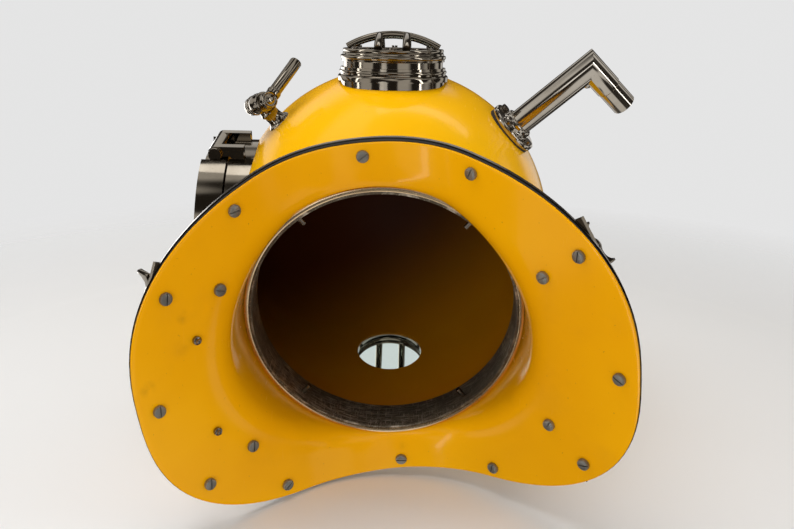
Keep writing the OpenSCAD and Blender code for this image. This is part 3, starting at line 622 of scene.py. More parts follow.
def corselet_sheet():
    start_fresh()
    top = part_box("corselet_shell")[1].z
    bpy.ops.mesh.primitive_circle_add(vertices=BEARINGS, radius=COLLAR_IN, location=(0, 0, top))
    piece = bpy.context.object
    piece.name = "corselet sheet"
    bpy.ops.object.transform_apply(location=True)
    bpy.ops.object.mode_set(mode="EDIT")
    bpy.ops.mesh.select_all(action="SELECT")
    for step in range(FLARE_RINGS + 1):
        grow_ring(piece, lambda bearing: flare_point(bearing, step / FLARE_RINGS))
    for step in range(1, SHEET_RINGS + 1):
        def outward(bearing):
            tail = COLLAR_IN + FLARE
            reach = tail + (outline_reach(bearing) - tail) * step / SHEET_RINGS
            return reach, under_face(bearing, reach)
        grow_ring(piece, outward)
    bpy.ops.mesh.select_all(action="SELECT")
    bpy.ops.mesh.normals_make_consistent(inside=False)
    bpy.ops.object.mode_set(mode="OBJECT")
    return piece


sheet = corselet_sheet()
print("grew", len(sheet.data.polygons), "faces without thickness")

# %% [markdown]
# So far the sheet has no wall. It could be extruded downwards, but then the wall would be thin
# on the slopes and in the flare. Solidify keeps it even. It thickens along the faces' normals, so
# first it is counted which way most of them look. A small bevel then rounds the rim.

# %% Give the sheet its wall
faces_down = sum(1 for face in sheet.data.polygons if face.normal.z < 0)
facing_down = faces_down > len(sheet.data.polygons) / 2
apply_modifier(sheet, "SOLIDIFY", thickness=SHEET_T, offset=-1.0 if facing_down else 1.0,
               use_even_offset=True, use_quality_normals=True)
apply_modifier(sheet, "BEVEL", width=0.6 * MM, segments=2, limit_method="ANGLE",
               angle_limit=math.radians(50))
put_at(sheet, SHOULDERS)
soften(sheet, 40)
hand_over(sheet, SHEET_YELLOW_WITH_PAINTED_SHADE, "corselet_shell")

# %% [markdown]
# ## The dome
# The bonnet is a spun copper shell: a ball above, drawn in slightly towards the neck. A UV sphere
# would be quick, but it has no flank and no wall. The section is built here from the same two
# arcs as the solid's, a wide one up the flank and a quarter of the ball.

# %% Section of the dome
DOME_R = 158 * MM
DOME_WALL = 2.5 * MM
FOOT_R = 119 * MM
DOME_Z = CROWN - DOME_R
FLANK_R = ((DOME_R - FOOT_R) ** 2 + (DOME_Z - DOME_FOOT) ** 2) / (2 * (DOME_R - FOOT_R))


def arc(centre, radius, angles):
    """Points of a section on an arc about a centre at the height of the ball's."""
    return [(centre + radius * math.cos(a), DOME_Z + radius * math.sin(a)) for a in angles]


def dome_side(skin, count_low=14, count_high=28):
    """The dome's section from foot to crown, set in from its outer face by skin."""
    low_angle = math.asin((DOME_FOOT - DOME_Z) / (FLANK_R - skin))
    flank = [low_angle * (1 - step / count_low) for step in range(count_low)]
    crown = [math.pi / 2 * step / count_high for step in range(count_high + 1)]
    return arc(DOME_R - FLANK_R, FLANK_R - skin, flank) + arc(0.0, DOME_R - skin, crown)


print("flank of radius", round(FLANK_R, 4), "below the ball's middle at z", round(DOME_Z, 4))

# %% [markdown]
# Each fitting on the dome has its own frame, whose z looks outwards along the fitting. Turning
# finished pieces by hand would do, but with a frame each one is made upright at the origin and
# then put in place. The windows and the faceplate take theirs from the panes of the solids, and
# the elbow and the spitcock from a bearing round the dome and a rise above its middle.

# %% Frames of the fittings on the dome
WINDOW_LEAN = math.radians(78)


def at_bonnet(azimuth, rise, roll):
    """Local frame of a fitting on the dome: z runs outwards from the ball's centre."""
    return (Matrix.Translation((0, AXIS_Y, DOME_Z)) @ Matrix.Rotation(math.radians(azimuth), 4, "Z")
            @ Matrix.Rotation(math.radians(90 - rise), 4, "Y")
            @ Matrix.Rotation(math.radians(roll), 4, "Z"))


def at_window(side):
    """Local frame of a side window: z runs outwards through the middle of its glass."""
    name = "left" if side > 0 else "right"
    low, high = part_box("window_glass_" + name)
    return Matrix.Translation((low + high) / 2) @ Matrix.Rotation(side * WINDOW_LEAN, 4, "Y")


def at_faceplate():
    """Local frame of the faceplate: z runs forwards through the middle of its glass."""
    low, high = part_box("faceplate_glass")
    return Matrix.Translation((low + high) / 2) @ Matrix.Rotation(math.radians(90), 4, "X")


ELBOW_PLACE = at_bonnet(46, -6, 99)
SPITCOCK_PLACE = at_bonnet(-43, -8, 45)
print("elbow looks along", [round(value, 2) for value in ELBOW_PLACE.col[2][:3]])

# %% [markdown]
# Now the section is spun into a shell. Its openings could be left out of the mesh face by face,
# but their rims would be ragged. A drill along each fitting's axis gives a clean round bore, as
# it does in the workshop.

# %% Spin the dome and bore it
FACE_HOLE_R, WINDOW_HOLE_R = 64 * MM, 35 * MM


def bore(piece, place, radius, start, length):
    """Drills along the z axis of place, from start onwards."""
    drill = cylinder(radius, length, sides=96, location=(0, 0, start + length / 2))
    bpy.ops.object.transform_apply(location=True)
    put_at(drill, place)
    cut(piece, drill)


outer, inner = dome_side(0.0), dome_side(DOME_WALL)
dome = turned("bonnet dome", outer + inner[::-1], Matrix.Translation((0, AXIS_Y, 0)), steps=160)
bore(dome, at_faceplate(), FACE_HOLE_R, start=-0.13, length=0.16)
for side in (1, -1):
    bore(dome, at_window(side), WINDOW_HOLE_R, start=-0.06, length=0.10)
for place, pipe_r in ((ELBOW_PLACE, 10 * MM), (SPITCOCK_PLACE, 3 * MM)):
    bore(dome, place, pipe_r, start=0.10, length=0.08)
soften(dome, 30)
hand_over(dome, YELLOW, "bonnet_shell")

# %% [markdown]
# The same dome carries two paints: fresh yellow outside, and inside the coat with painted shade.
# It could be split into two shells, but then an edge would show at each opening. One mesh with
# two material slots is cleaner, and each face takes its slot from the way it faces: towards the
# middle of the dome, or away from it.

# %% Paint the inside of the dome
dome.data.materials.append(INSIDE)
painted_inside = 0
for face in dome.data.polygons:
    out = Vector((face.center.x, face.center.y - AXIS_Y, 0)).normalized()
    if face.center.z > DOME_Z:
        out = (face.center - Vector((0, AXIS_Y, DOME_Z))).normalized()
    if face.normal.dot(out) < 0.2:
        face.material_index = 1
        painted_inside += 1
print("inside faces", painted_inside)

# %% [markdown]
# ## The neck
# Two turned rings meet at the neck with a leather washer between them. The lower one shows a
# bright bronze lip round the opening; the upper one has a deep spigot whose inside is scraped.
# The threads that lock them can't be seen, so each ring is turned plain, from its section.

# %% Turn the neck rings
NECK_R = 112 * MM
SPIGOT_R = 114.3 * MM
FLANGE_R = 128 * MM
BAND_TOP = NECK_FLOOR + 35 * MM
axis_place = Matrix.Translation((0, AXIS_Y, 0))
upper_ring = turned("bonnet neck ring", [
    (NECK_R, NECK_FLOOR + 1.0 * MM), (SPIGOT_R, NECK_FLOOR + 1.0 * MM), (SPIGOT_R, SEAM_HIGH),
    (FLANGE_R - 1 * MM, SEAM_HIGH), (FLANGE_R - 1 * MM, DOME_FOOT - 1 * MM),
    (FOOT_R - 2.7 * MM, DOME_FOOT - 1 * MM), (FOOT_R - 2.7 * MM, BAND_TOP),
    (NECK_R + 1.2 * MM, BAND_TOP), (NECK_R, BAND_TOP - 3 * MM)],
    axis_place, edge=0.5 * MM)
hand_over(upper_ring, SCRAPED, "bonnet_neck_ring")
lower_ring = turned("corselet neck ring", [
    (SPIGOT_R + 0.1 * MM, NECK_FLOOR), (COLLAR_IN - 0.1 * MM, NECK_FLOOR),
    (COLLAR_IN - 0.1 * MM, NECK_FLOOR + 10 * MM), (FLANGE_R, NECK_FLOOR + 10 * MM),
    (FLANGE_R, SEAM_LOW), (SPIGOT_R + 0.1 * MM, SEAM_LOW)], axis_place, edge=0.8 * MM)
hand_over(lower_ring, BRONZE, "corselet_neck_ring")

# %% [markdown]
# ## Screws on the underside
# Sixteen slotted heads show on the underside of the sheet. They could be flat discs with a dark
# line, but real heads are slightly domed and their slots are sawn, and the low light shows both.
# One screw is turned, its slot is cut by a thin block, and the rest are copies.

# %% Model one slotted screw
HEAD_R, HEAD_H, SHANK_R = 5.0 * MM, 3.4 * MM, 3.0 * MM
SLOT_W, SLOT_D = 1.05 * MM, 1.2 * MM


def slotted_screw(shank_top):
    """A screw whose head hangs below z 0 and whose shank rises to shank_top."""
    crown = [(0.0, -HEAD_H), (HEAD_R * 0.70, -HEAD_H * 0.97), (HEAD_R * 0.92, -HEAD_H * 0.86),
             (HEAD_R, -HEAD_H * 0.62), (HEAD_R, -0.05 * MM), (SHANK_R, -0.05 * MM),
             (SHANK_R, shank_top - 0.8 * MM), (SHANK_R - 0.8 * MM, shank_top), (0.0, shank_top)]
    screw = turned("screw", crown, steps=28, edge=0.2 * MM)
    start_fresh()
    bpy.ops.mesh.primitive_cube_add(size=1, location=(0, 0, -HEAD_H))
    saw = bpy.context.object
    saw.scale = (3 * HEAD_R, SLOT_W, 2 * SLOT_D)
    bpy.ops.object.transform_apply(location=True, scale=True)
    cut(screw, saw)
    soften(screw, 30)
    return screw


# %% [markdown]
# The screws follow the rim, and the sheet under them is bent, so no two point quite the same
# way. Each could be turned until it looks right. Instead a frame on the sheet, whose z is the
# surface's normal, stands each one square. The bearings were read from the photograph, and four
# of them belong to the joints between two straps.

# %% Places on the bent sheet
RIM_INSET = 12 * MM
PLAIN_BEARINGS = [0, 23, 90, 157, 180, 211, 270, 329]
JOINT_BEARINGS = [56.4, 123.6, 239.6, 300.4]


def stretch(share):
    """Turns a circle's cosine or sine into the rounded outline's."""
    return math.copysign(abs(share) ** (2 / OUTLINE_POWER), share)


def rim_point(bearing):
    """Plan place of a rim screw; the bearing is the outline's own angle, in degrees."""
    a = math.radians(bearing)
    reach_y = BACK_REACH if math.sin(a) > 0 else CHEST_REACH
    return (stretch(math.cos(a)) * (HALF_WIDTH - RIM_INSET),
            stretch(math.sin(a)) * (reach_y - RIM_INSET))


def on_sheet(x, y, turn=0.0):
    """Local frame on the sheet's upper face: z is the face's normal."""
    slope = BACK_SLOPE if y > 0 else CHEST_SLOPE
    on_slope = abs(y) > SHOULDER_R * math.sin(slope)
    lean = math.copysign(slope, y) if on_slope else math.asin(y / SHOULDER_R)
    return (SHOULDERS @ Matrix.Translation((x, y, sheet_top(y))) @ Matrix.Rotation(-lean, 4, "X")
            @ Matrix.Rotation(math.radians(turn), 4, "Z"))


print("first rim screw at", [round(value / MM, 1) for value in rim_point(PLAIN_BEARINGS[0])], "mm")

# %% [markdown]
# Nobody tightens sixteen screws to the same angle. A seeded random turn gives each its own, the
# same each time the script runs. Seen from below the sheet is hollow, and a flat head would bite
# into it at its edge, so each one is lowered by the rise of the arc across the head.

# %% Place the screws round the rim
RIM_STACK = 6.0 * MM
HEAD_DROP = HEAD_R**2 / (2 * (SHOULDER_R - SHEET_T)) + 0.02 * MM


def screw_set(name, places, shank_top, node, finish):
    turns = random.Random(7)
    drop = Matrix.Translation((0, 0, -SHEET_T - HEAD_DROP))
    frames = [on_sheet(x, y, turns.uniform(0, 180)) @ drop for x, y in places]
    hand_over(copies_at(slotted_screw(shank_top), frames, name), finish, node)


screw_set("rim screws", [rim_point(b) for b in PLAIN_BEARINGS + JOINT_BEARINGS],
          SHEET_T + RIM_STACK + 12 * MM, "rim_screws", STEEL)
EYELETS = [(0.066, 0.130), (-0.066, 0.130), (0.073, -0.116), (-0.073, -0.116)]
screw_set("eyelet screws", EYELETS, SHEET_T + 5.5 * MM, "eyelet_screws", STEEL)

# %% [markdown]
# ## The side windows
# Each window is a stack: a seat brazed to the dome, thick glass, a screwed retainer and a guard
# of bent bars. The retainer is turned with a rolled step, and the guard is bent from round bar.

# %% Turn the window retainers
GLASS_TO_FACE = 2.1 * MM
RETAINER_H = 8.5 * MM
WINDOW_R = 50 * MM
for side, name in ((1, "left"), (-1, "right")):
    low = GLASS_TO_FACE + 0.1 * MM
    inner_r = WINDOW_HOLE_R + 2 * MM
    section = [
        (inner_r, low + 1 * MM), (WINDOW_R - 1 * MM, low), (WINDOW_R - 1 * MM, low + 2.2 * MM),
        (WINDOW_R, low + 2.8 * MM), (WINDOW_R + 0.2 * MM, low + 4.0 * MM), (WINDOW_R, low + 5.4 * MM),
        (WINDOW_R - 1.8 * MM, low + 6.0 * MM), (WINDOW_R - 1.8 * MM, low + RETAINER_H - 1 * MM),
        (WINDOW_R - 2.6 * MM, low + RETAINER_H), (inner_r + 2 * MM, low + RETAINER_H),
        (inner_r, low + RETAINER_H - 3 * MM)]
    retainer = turned("window retainer " + name, section, at_window(side), edge=0.35 * MM)
    hand_over(retainer, NICKEL, "window_retainer_" + name)

# %% [markdown]
# The seat stands on the dome with a bead round its foot and a second one under the retainer, and
# the light runs along both. They could be cut into the solid's barrel, but they are easier to
# turn as a collar and to join to it. A flat ring doesn't follow a round dome, so each vertex
# that would come too deep is pushed outwards along the window's axis until it is just buried.


# %% Turn the foot of each window seat
BURIED, SLANT = 1.0 * MM, 1.05
FOOT_OUT = 2.6 * MM
FOOT_SECTION = [(-3.0, 0.0), (2.4, 0.0), (2.6, 3.6), (2.2, 4.8), (1.2, 5.6), (0.5, 5.9), (0.4, 7.2),
                (1.1, 7.7), (1.3, 8.6), (1.1, 9.5), (0.3, 10.0), (-3.0, 10.0)]


def depth_in_dome(point):
    """How far a point lies under the dome's outer face; negative outside it."""
    up = point.z - DOME_Z
    beside = math.hypot(point.x, point.y - AXIS_Y)
    if up > 0:
        return DOME_R - math.hypot(beside, up)
    return DOME_R - FLANK_R + math.sqrt(FLANK_R**2 - up**2) - beside


for side, name in ((1, "left"), (-1, "right")):
    place = at_window(side)
    ball = (place.inverted() @ Vector((0, AXIS_Y, DOME_Z))).z
    foot = ball + math.sqrt(DOME_R**2 - (WINDOW_R + FOOT_OUT) ** 2) - BURIED
    collar = turned("window foot", in_mm(FOOT_SECTION, WINDOW_R, foot), place)
    outwards = place.to_quaternion() @ Vector((0, 0, 1))
    for vertex in collar.data.vertices:
        sunk = depth_in_dome(vertex.co) - BURIED
        if sunk > 0:
            vertex.co += outwards * sunk * SLANT
    seat = smoothed_copy("window_seat_" + name, 0.8 * MM)
    hand_over(join([seat, collar], "window seat " + name), NICKEL, "window_seat_" + name)

# %% [markdown]
# The guard keeps knocks off the glass: two bars along the diver's height and one across them,
# arched outwards and let into a flat ring. A torus could be cut and stretched into such a bar,
# but a curve with a round bevel is bent bar already, and keeps its section along the whole arc.


# %% Bend one guard bar
def bent_bar(name, half, rise, radius, shift, turn, place, lift):
    ring = (half**2 + rise**2) / (2 * rise)
    sweep = math.asin(half / ring)
    start_fresh()
    bpy.ops.curve.primitive_bezier_curve_add()
    bar = bpy.context.object
    bar.name = name
    bar.data.splines.clear()
    spline = bar.data.splines.new("POLY")
    count = 28
    spline.points.add(count)
    for number in range(count + 1):
        a = sweep * (2 * number / count - 1)
        height = lift + rise - ring + ring * math.cos(a)
        spline.points[number].co = (shift, ring * math.sin(a), height, 1)
    bar.data.bevel_depth = radius
    bar.data.bevel_resolution = 5
    bar.data.use_fill_caps = True
    pick(bar)
    bpy.ops.object.convert(target="MESH")
    put_at(bar, place @ Matrix.Rotation(math.radians(turn), 4, "Z"))
    soften(bar, 50)
    return bar


# %% [markdown]
# A guard is a flat ring and three bars. The bars could be cut to fit the ring, but on the real
# one they are let into it, so their ends simply run into the ring's metal. The two bars beside
# the middle are chords of the same circle, so they come out shorter.

# %% Build the two guards
GUARD_LIFT = GLASS_TO_FACE + 1.2 * MM + 7.5 * MM
BAR_R = 3.8 * MM
SEAT_R = 44.5 * MM
for side, name in ((1, "left"), (-1, "right")):
    place = at_window(side)
    flat = turned("guard ring " + name, [
        (WINDOW_R - 12.6 * MM, GUARD_LIFT), (WINDOW_R - 2 * MM, GUARD_LIFT),
        (WINDOW_R - 2 * MM, GUARD_LIFT + 3 * MM), (WINDOW_R - 12.6 * MM, GUARD_LIFT + 3 * MM)],
        place, edge=0.8 * MM)
    lift, long_half = GUARD_LIFT + BAR_R, SEAT_R - 1 * MM
    bars = [bent_bar("bar", long_half, 12 * MM, BAR_R, 0.0, 0, place, lift)]
    for shift in (-13 * MM, 13 * MM):
        half = math.sqrt(long_half**2 - shift**2)
        bars.append(bent_bar("bar", half, 10.8 * MM, BAR_R, shift, 90, place, lift))
    hand_over(join([flat] + bars, "window guard " + name), NICKEL, "window_guard_" + name)

# %% [markdown]
# ## Nuts, studs and wing nuts
# Round collar nuts hold the straps down, and two studs on the chest carry the cord of a weight.
# Cylinders with a bevel would look sawn off. Drawn as sections and turned, they get the chamfers,
# collars and soft corners that catch the light. One of each is turned, and the rest are copies.

# %% Turn the rim nuts and the chest studs
nut = turned("nut", in_mm([
    (3.1, 0.15), (8.5, 0.15), (8.5, 1.5), (8.0, 2.1), (6.9, 2.3), (6.8, 3.0), (6.8, 8.2),
    (6.0, 9.1), (3.6, 9.1), (3.1, 8.6)]), Matrix.Translation((0, 0, RIM_STACK)), steps=40, edge=0.2 * MM)
nut_places = [on_sheet(*rim_point(b)) for b in PLAIN_BEARINGS]
hand_over(copies_at(nut, nut_places, "rim nuts"), NICKEL, "rim_nuts")
stud = turned("stud", in_mm([
    (0, 14), (4.4, 14), (5.3, 13.3), (5.4, 12.0), (4.6, 11.0), (3.5, 10.2), (3.4, 5.2), (4.2, 4.2),
    (5.9, 3.7), (6.0, 0.1), (2.1, 0.1), (2.1, -2.3), (3.4, -2.4), (3.4, -4.9), (3.0, -5.3),
    (2.0, -5.4), (1.7, -7.2), (0, -7.2)]), steps=32, edge=0.12 * MM)
stud_places = [on_sheet(x * MM, -136 * MM) for x in (42, -42)]
hand_over(copies_at(stud, stud_places, "chest studs"), DULL_NICKEL, "chest_studs")

# %% [markdown]
# A wing nut is a turned hub with two blades for the fingers. The blades could be extruded from
# the hub one by one. Cut from one block, they come out alike: two cylinders scoop it out beside
# the hub, a third bores it, and a flattened one rounds its ends. The small wing nuts hold the
# strap joints, and a larger one closes the latch of the faceplate.


# %% Model a wing nut
def wing_nut(name, hub_r, reach, high, thick, bore_r):
    shoulder, hub_top = high * 0.42, high * 0.70
    hub = turned(name, [
        (bore_r, 0), (hub_r - 0.5 * MM, 0), (hub_r, 0.6 * MM), (hub_r, shoulder),
        (hub_r - 1.0 * MM, high * 0.62), (hub_r - 2.2 * MM, hub_top), (bore_r, hub_top)],
        steps=48, edge=0.25 * MM)
    start_fresh()
    bpy.ops.mesh.primitive_cube_add(size=1, location=(0, 0, high * 0.65))
    blades = bpy.context.object
    blades.scale = (2 * reach, thick, high * 1.1)
    bpy.ops.object.transform_apply(location=True, scale=True)
    for side in (1, -1):
        cut(blades, cylinder(high * 0.55, 3 * thick, rotation=(math.pi / 2, 0, 0),
                             location=(side * (hub_r + 1 * MM), 0, high * 1.3)))
    cut(blades, cylinder(bore_r, 8 * high))
    outline = cylinder(reach, 4 * high, sides=96)
    outline.scale = (1, 0.5, 1)
    cut(blades, outline, "INTERSECT")
    apply_modifier(blades, "BEVEL", width=1.0 * MM, segments=4, limit_method="ANGLE",
                   angle_limit=math.radians(50), use_clamp_overlap=True)
    soften(blades, 40)
    return join([hub, blades], name)


# %% [markdown]
# The small wing nuts stand on the joint plates, each turned as far as the hand left it. The large
# one sits on the swing bolt, which rests swung aside. Its axis is the bolt's, and its place could
# be typed in, but then it would part from its washer if the latch moved, so it is put on the
# washer's outer face.

# %% Put the wing nuts in place
JOINT_TURNS = (-41, 55, 12, -8)
small = wing_nut("wing nut", hub_r=7 * MM, reach=17 * MM, high=13 * MM, thick=4 * MM, bore_r=3.05 * MM)
lift = Matrix.Translation((0, 0, RIM_STACK + 3.4 * MM))
small_places = [on_sheet(*rim_point(b), turn) @ lift for b, turn in zip(JOINT_BEARINGS, JOINT_TURNS)]
hand_over(copies_at(small, small_places, "joint wing nuts"), NICKEL, "joint_wing_nuts")

STORED = math.radians(170)
HALF_WASHER = 1.0 * MM
along_bolt = Vector((math.cos(STORED), math.sin(STORED), 0))
upwards = Vector((0, 0, 1))
bolt_frame = Matrix((upwards, along_bolt.cross(upwards), along_bolt)).transposed().to_4x4()
washer_low, washer_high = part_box("latch_washer")
outer_face = (washer_low + washer_high) / 2 + along_bolt * HALF_WASHER
latch = wing_nut("latch wing nut", hub_r=8 * MM, reach=19 * MM, high=14 * MM, thick=4 * MM,
                 bore_r=3.55 * MM)
put_at(latch, Matrix.Translation(outer_face) @ bolt_frame)
hand_over(latch, NICKEL, "latch_wing_nut")

# %% [markdown]
# Air comes in through an elbow that is screwed to the back of the dome by a flange. The flange
# is a disc with a stepped neck. It could be smoothed from its solid, but it faces the camera and
# mirrors the whole room, so it is turned afresh, about the line from the dome's middle.

# %% Turn the elbow's flange
flange_foot = DOME_R + 2.5 * MM
flange = turned("elbow flange", in_mm([
    (12.1, 0.05), (26.0, 0.05), (26.0, 4.0), (25.2, 4.9), (17.6, 4.9), (16.0, 5.4), (15.2, 6.6),
    (15.0, 8.0), (15.0, 10.2), (14.2, 11.0), (12.1, 11.0)], height=flange_foot),
    ELBOW_PLACE, steps=96, edge=0.2 * MM)
# The flange takes the paler nickel, as painted light.
hand_over(flange, NICKEL_WITH_PAINTED_LIGHT, "elbow_flange")

# %% [markdown]
# The spitcock is a small valve near the mouth. Its stem and its barrel are turned with beads,
# the plug runs through the barrel and ends in a cap with a raised middle, and the lever is a
# plain tube beside it. One mesh could hold them all, but the plug, its nut and the lever turn in
# the barrel, so each is a piece of its own, turned about its own axis.

# %% Turn the spitcock
PLUG_RISE, LEVER_AT = 26 * MM, 17.6 * MM
cross = SPITCOCK_PLACE @ Matrix.Translation((0, 0, DOME_R + PLUG_RISE))
across = cross @ Matrix.Rotation(math.pi / 2, 4, "Y")
stem = turned("spitcock stem", in_mm([
    (3.0, -1.6), (11.6, -1.6), (11.8, 1.2), (10.8, 2.6), (9.0, 3.4), (8.2, 5.2), (7.9, 8.0),
    (7.9, 12.5), (8.6, 13.4), (9.0, 14.6), (8.5, 15.8), (7.6, 16.6), (7.4, 20.5), (3.0, 20.5)],
    height=DOME_R), SPITCOCK_PLACE, steps=64)
half_barrel = [(10.0, 0.0), (9.5, 4.5), (8.7, 7.2), (9.2, 7.8), (9.7, 9.0), (9.3, 10.4), (8.0, 11.0),
               (5.1, 11.0)]
other_half = [(out, -up) for out, up in half_barrel[:0:-1]]
barrel = turned("spitcock barrel", in_mm(other_half + half_barrel), across, steps=64)
hand_over(join([stem, barrel], "spitcock body"), NICKEL, "spitcock_body")
plug = turned("spitcock plug", in_mm([
    (0, -16.0), (4.9, -16.0), (4.9, 11.5), (7.2, 11.5), (7.95, 12.4), (7.95, 20.4), (7.4, 21.5),
    (6.6, 21.9), (5.9, 21.5), (5.5, 20.9), (4.9, 20.9), (4.5, 21.6), (3.6, 22.4), (1.9, 22.8),
    (0, 22.8)]), across, steps=64)
hand_over(plug, NICKEL, "spitcock_plug")
cap = turned("spitcock nut", in_mm([
    (4.95, -11.5), (7.8, -11.5), (8.5, -12.3), (8.5, -16.6), (7.8, -17.8), (6.9, -18.2),
    (6.2, -17.9), (5.8, -18.2), (5.3, -19.4), (4.2, -20.2), (0, -20.4), (0, -17.0),
    (4.95, -17.0)]), across, steps=64)
hand_over(cap, NICKEL, "spitcock_nut")
beside = cross @ Matrix.Translation((LEVER_AT, 0, 0)) @ Matrix.Rotation(-math.pi / 2, 4, "X")
tube = turned("spitcock lever", in_mm([
    (0, 6.4), (6.4, 6.4), (6.8, 9.6), (6.5, 11.2), (5.8, 11.8), (5.8, 49.2), (5.3, 50.0),
    (4.3, 50.0), (4.2, 28.0), (0, 28.0)]), beside, steps=64)
hand_over(tube, NICKEL, "spitcock_lever")

# %% [markdown]
# ## The remaining pieces
# The other fittings, gaskets and panes have the right shape already, and modelling them again
# would only risk their fit. Each gets a smoothed copy and the finish of its place on the helmet.
# Metal edges are broken as a file would, a little more on the two large rings of the faceplate.

# %% Smooth the fittings and give them their finish
FILED_EDGE, LARGE_EDGE = 0.35 * MM, 1.0 * MM
FITTINGS = {
    NICKEL: ["faceplate_seat", "faceplate_ring", "faceplate_bezel", "hinge_pin", "swing_bolt",
             "swing_bolt_pin", "latch_washer", "strap_joint_plates", "eyelet_lugs"],
    # The elbow takes the paler nickel, as painted light.
    NICKEL_WITH_PAINTED_LIGHT: ["elbow_tube"],
    DULL_NICKEL: ["strap_chest", "strap_back", "strap_left", "strap_right", "neck_ring_screws",
                  "window_screws_left", "window_screws_right", "bezel_screws", "elbow_screws"],
    RUBBER: ["rim_gasket", "window_gasket_left", "window_gasket_right", "elbow_gasket"],
    LEATHER: ["neck_gasket", "faceplate_gasket"],
    GLASS: ["window_glass_left", "window_glass_right", "faceplate_glass"],
}
for finish, nodes in FITTINGS.items():
    for node in nodes:
        worked = finish in (NICKEL, NICKEL_WITH_PAINTED_LIGHT, DULL_NICKEL)
        edge = LARGE_EDGE if node in ("faceplate_seat", "faceplate_ring") else FILED_EDGE
        hand_over(smoothed_copy(node, edge if worked else 0.0), finish, node)

# %% [markdown]
# ## Stage
# The photograph looks up into the neck from below. The camera could be moved about until the
# pictures agree, but it was worked out instead from where the screws, the neck and the windows
# lie in the photograph. It has a place, a direction and an upward side.

# %% Camera at the photograph's angle
CAMERA_AT = Vector((0.3974, 0.0240 + AXIS_Y, -0.5691))
CAMERA_LOOK = Vector((-0.4452, -0.0172, 0.8953)).normalized()
CAMERA_UP = Vector((0.8953, -0.0245, 0.4447))
camera_data = bpy.data.cameras.new("camera")
camera = bpy.data.objects.new("camera", camera_data)
bpy.context.scene.collection.objects.link(camera)
camera_data.sensor_width, camera_data.lens = 36, 43.0
camera_data.clip_start, camera_data.clip_end = 0.02, 50
sideways = CAMERA_LOOK.cross(CAMERA_UP).normalized()
upright = sideways.cross(CAMERA_LOOK).normalized()
facing = Matrix((sideways, upright, -CAMERA_LOOK)).transposed().to_4x4()
camera.matrix_world = Matrix.Translation(CAMERA_AT) @ facing
bpy.context.scene.camera = camera
print("camera at", [round(value, 3) for value in CAMERA_AT], "with a lens of", camera_data.lens, "mm")

# %% [markdown]
# The helmet lies on its right side in the photograph, while the solids stand upright. It could
# be laid down, but every piece has to stay where its solid is, so there are two floors: one
# under the rim, and one that the helmet lies on. Each is pale paper that is seen from its own
# face only and fades out into the backdrop. It takes the helmet's shadow and gives none.


# %% Two one-sided floors
FLOOR_SIZE, FLOOR_REACH, FADE_FROM = 4.0, 1.1, 0.55


def floor(name, centre, normal):
    start_fresh()
    bpy.ops.mesh.primitive_plane_add(size=FLOOR_SIZE)
    plane = bpy.context.object
    plane.name = name
    facing = normal.to_track_quat("Z", "Y").to_matrix().to_4x4()
    plane.matrix_world = Matrix.Translation(centre) @ facing
    paper = Finish(name + " paper")
    behind = paper.node("ShaderNodeNewGeometry", output="Backfacing")
    away = paper.node("ShaderNodeVectorMath", {"operation": "LENGTH"}, {0: paper.place}, output="Value")
    hidden = behind.or_more(paper.between(away, FLOOR_REACH * FADE_FROM, FLOOR_REACH))
    paper.set(Base_Color=(0.80, 0.80, 0.80, 1), Roughness=0.9, Specular_IOR_Level=0.1)
    clear = paper.tree.nodes.new("ShaderNodeBsdfTransparent")
    mixed = paper.tree.nodes.new("ShaderNodeMixShader")
    paper.tree.links.new(hidden.socket, mixed.inputs[0])
    paper.tree.links.new(paper.shader.outputs[0], mixed.inputs[1])
    paper.tree.links.new(clear.outputs[0], mixed.inputs[2])
    paper.tree.links.new(mixed.outputs[0], paper.tree.nodes["Material Output"].inputs["Surface"])
    plane.data.materials.append(paper.material)
    plane.visible_shadow = plane.visible_diffuse = False
    plane.visible_glossy = plane.visible_transmission = False


LYING = Vector((0.985, 0.0, 0.172)).normalized()
solids = frame["nodes"].values()
rest = min(vertex.co.dot(LYING) for solid in solids for vertex in solid.data.vertices)
middle = (Vector(cad_box[0]) + Vector(cad_box[1])) / 2
floor("standing floor", Vector((0, 0, 0)), Vector((0, 0, 1)))
floor("lying floor", middle + LYING * (rest - middle.dot(LYING)), LYING)
print("the lying helmet rests", round((middle.dot(LYING) - rest) / MM), "mm below its middle")

# %% [markdown]
# Enamel needs large soft lamps, while polished metal mirrors each lamp as a shape. A large lamp
# would fill the nickel with flat white, so key, fill and behind are hidden from reflections, and
# narrow strips and two small cards draw the long streaks that show how round the fittings are.


# %% Soft studio light
def softbox(name, at, size, watts):
    data = bpy.data.lights.new(name, "AREA")
    data.shape, data.size, data.energy = "DISK", size, watts
    lamp = bpy.data.objects.new(name, data)
    bpy.context.scene.collection.objects.link(lamp)
    lamp.location = at
    lamp.rotation_mode = "QUATERNION"
    lamp.rotation_quaternion = (middle - at).to_track_quat("-Z", "Y")
    return lamp


key = softbox("key above the picture", middle + Vector((1.25, -0.35, 0.15)), size=1.3, watts=13)
fill = softbox("fill beside the camera", middle + Vector((0.30, 0.05, -1.35)), size=1.2, watts=8)
softbox("overhead", middle + Vector((-0.5, -0.9, 1.1)), size=1.0, watts=8)
behind = softbox("behind", middle + Vector((-0.5, 1.35, 0.75)), size=1.3, watts=9)
for lamp in (key, fill, behind):
    lamp.visible_glossy = False
STRIP_LONG, STRIP_WIDE = 0.9, 0.10
STRIPS = {"front": ((0.35, -1.25, -0.2), 1.5), "back": ((0.45, 1.1, -0.55), 1.5),
          "far side": ((0.9, 0.25, 0.9), 0.5), "low": ((-0.6, -0.75, -0.95), 1.2)}
for name, (at, watts) in STRIPS.items():
    strip = softbox(name + " strip", middle + Vector(at), STRIP_LONG, watts)
    strip.data.shape, strip.data.size_y = "RECTANGLE", STRIP_WIDE
softbox("card below the elbow", middle + Vector((0.17, -0.45, -1.22)), size=0.5, watts=0.7)
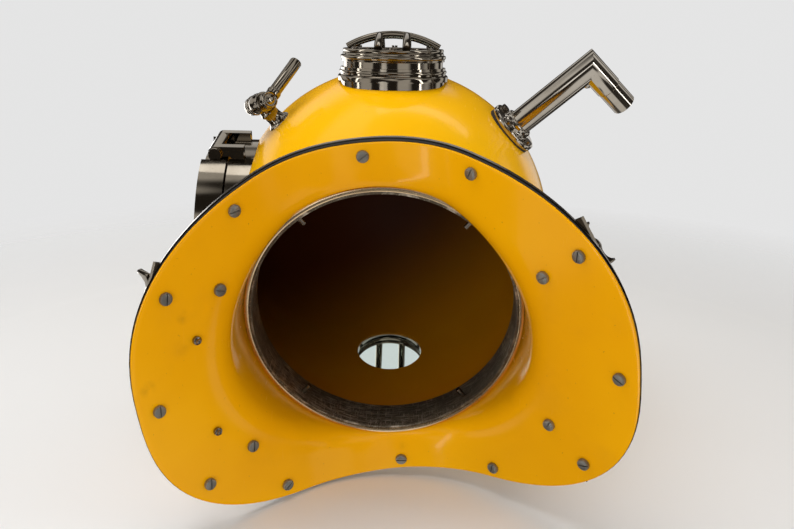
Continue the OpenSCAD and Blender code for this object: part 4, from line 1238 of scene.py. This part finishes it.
softbox("card beside the faceplate", middle + Vector((1.32, -0.39, 0.31)), size=0.34, watts=0.5)
print("hung", len(bpy.data.lights), "lamps")

# %% [markdown]
# The world adds an even light from all round, a little warm. The camera and the panes see a
# plain pale backdrop in it. Metal that mirrored the same would look chalky, so mirrored rays see
# the backdrop broken by soft dark bands, as walls beside a studio's paper would. A picture of a
# studio could give them, but a noise over the direction and a ramp of two tones are enough.


# %% Even light, and the room that the metal mirrors
def room_node(kind, inputs):
    """Adds a node to the world. An input takes a value or another node's output."""
    made = tree.nodes.new(kind)
    for name, value in inputs.items():
        if isinstance(value, bpy.types.NodeSocket):
            tree.links.new(value, made.inputs[name])
        else:
            made.inputs[name].default_value = value
    return made


world = bpy.data.worlds.new("studio")
bpy.context.scene.world = world
world.use_nodes = True
tree = world.node_tree
lit = tree.nodes["Background"]
lit.inputs["Color"].default_value, lit.inputs["Strength"].default_value = (0.95, 0.92, 0.87, 1), 0.42
backdrop = room_node("ShaderNodeBackground", {"Color": (0.78, 0.78, 0.78, 1)})
direction = room_node("ShaderNodeTexCoord", {}).outputs["Generated"]
bands = room_node("ShaderNodeTexNoise", {"Vector": direction, "Scale": 2.6, "Detail": 0.0})
band_tones = room_node("ShaderNodeValToRGB", {0: bands.outputs[0]})
dark, pale = band_tones.color_ramp.elements
dark.position, dark.color = 0.47, (0.035, 0.03, 0.025, 1)
pale.position, pale.color = 0.58, (0.78, 0.76, 0.73, 1)
mirrored = room_node("ShaderNodeBackground", {"Color": band_tones.outputs[0]})
ray = room_node("ShaderNodeLightPath", {}).outputs
room = room_node("ShaderNodeMixShader", {0: ray["Is Glossy Ray"], 1: lit.outputs[0],
                                         2: mirrored.outputs[0]})
seen = room_node("ShaderNodeMath", {0: ray["Is Camera Ray"], 1: ray["Is Transmission Ray"]})
seen.operation = "MAXIMUM"
mixed = room_node("ShaderNodeMixShader", {0: seen.outputs[0], 1: room.outputs[0],
                                          2: backdrop.outputs[0]})
tree.links.new(mixed.outputs[0], tree.nodes["World Output"].inputs["Surface"])
bpy.context.scene.view_settings.view_transform = "Standard"
print("lit by the world", world.name, "through", len(tree.nodes), "nodes")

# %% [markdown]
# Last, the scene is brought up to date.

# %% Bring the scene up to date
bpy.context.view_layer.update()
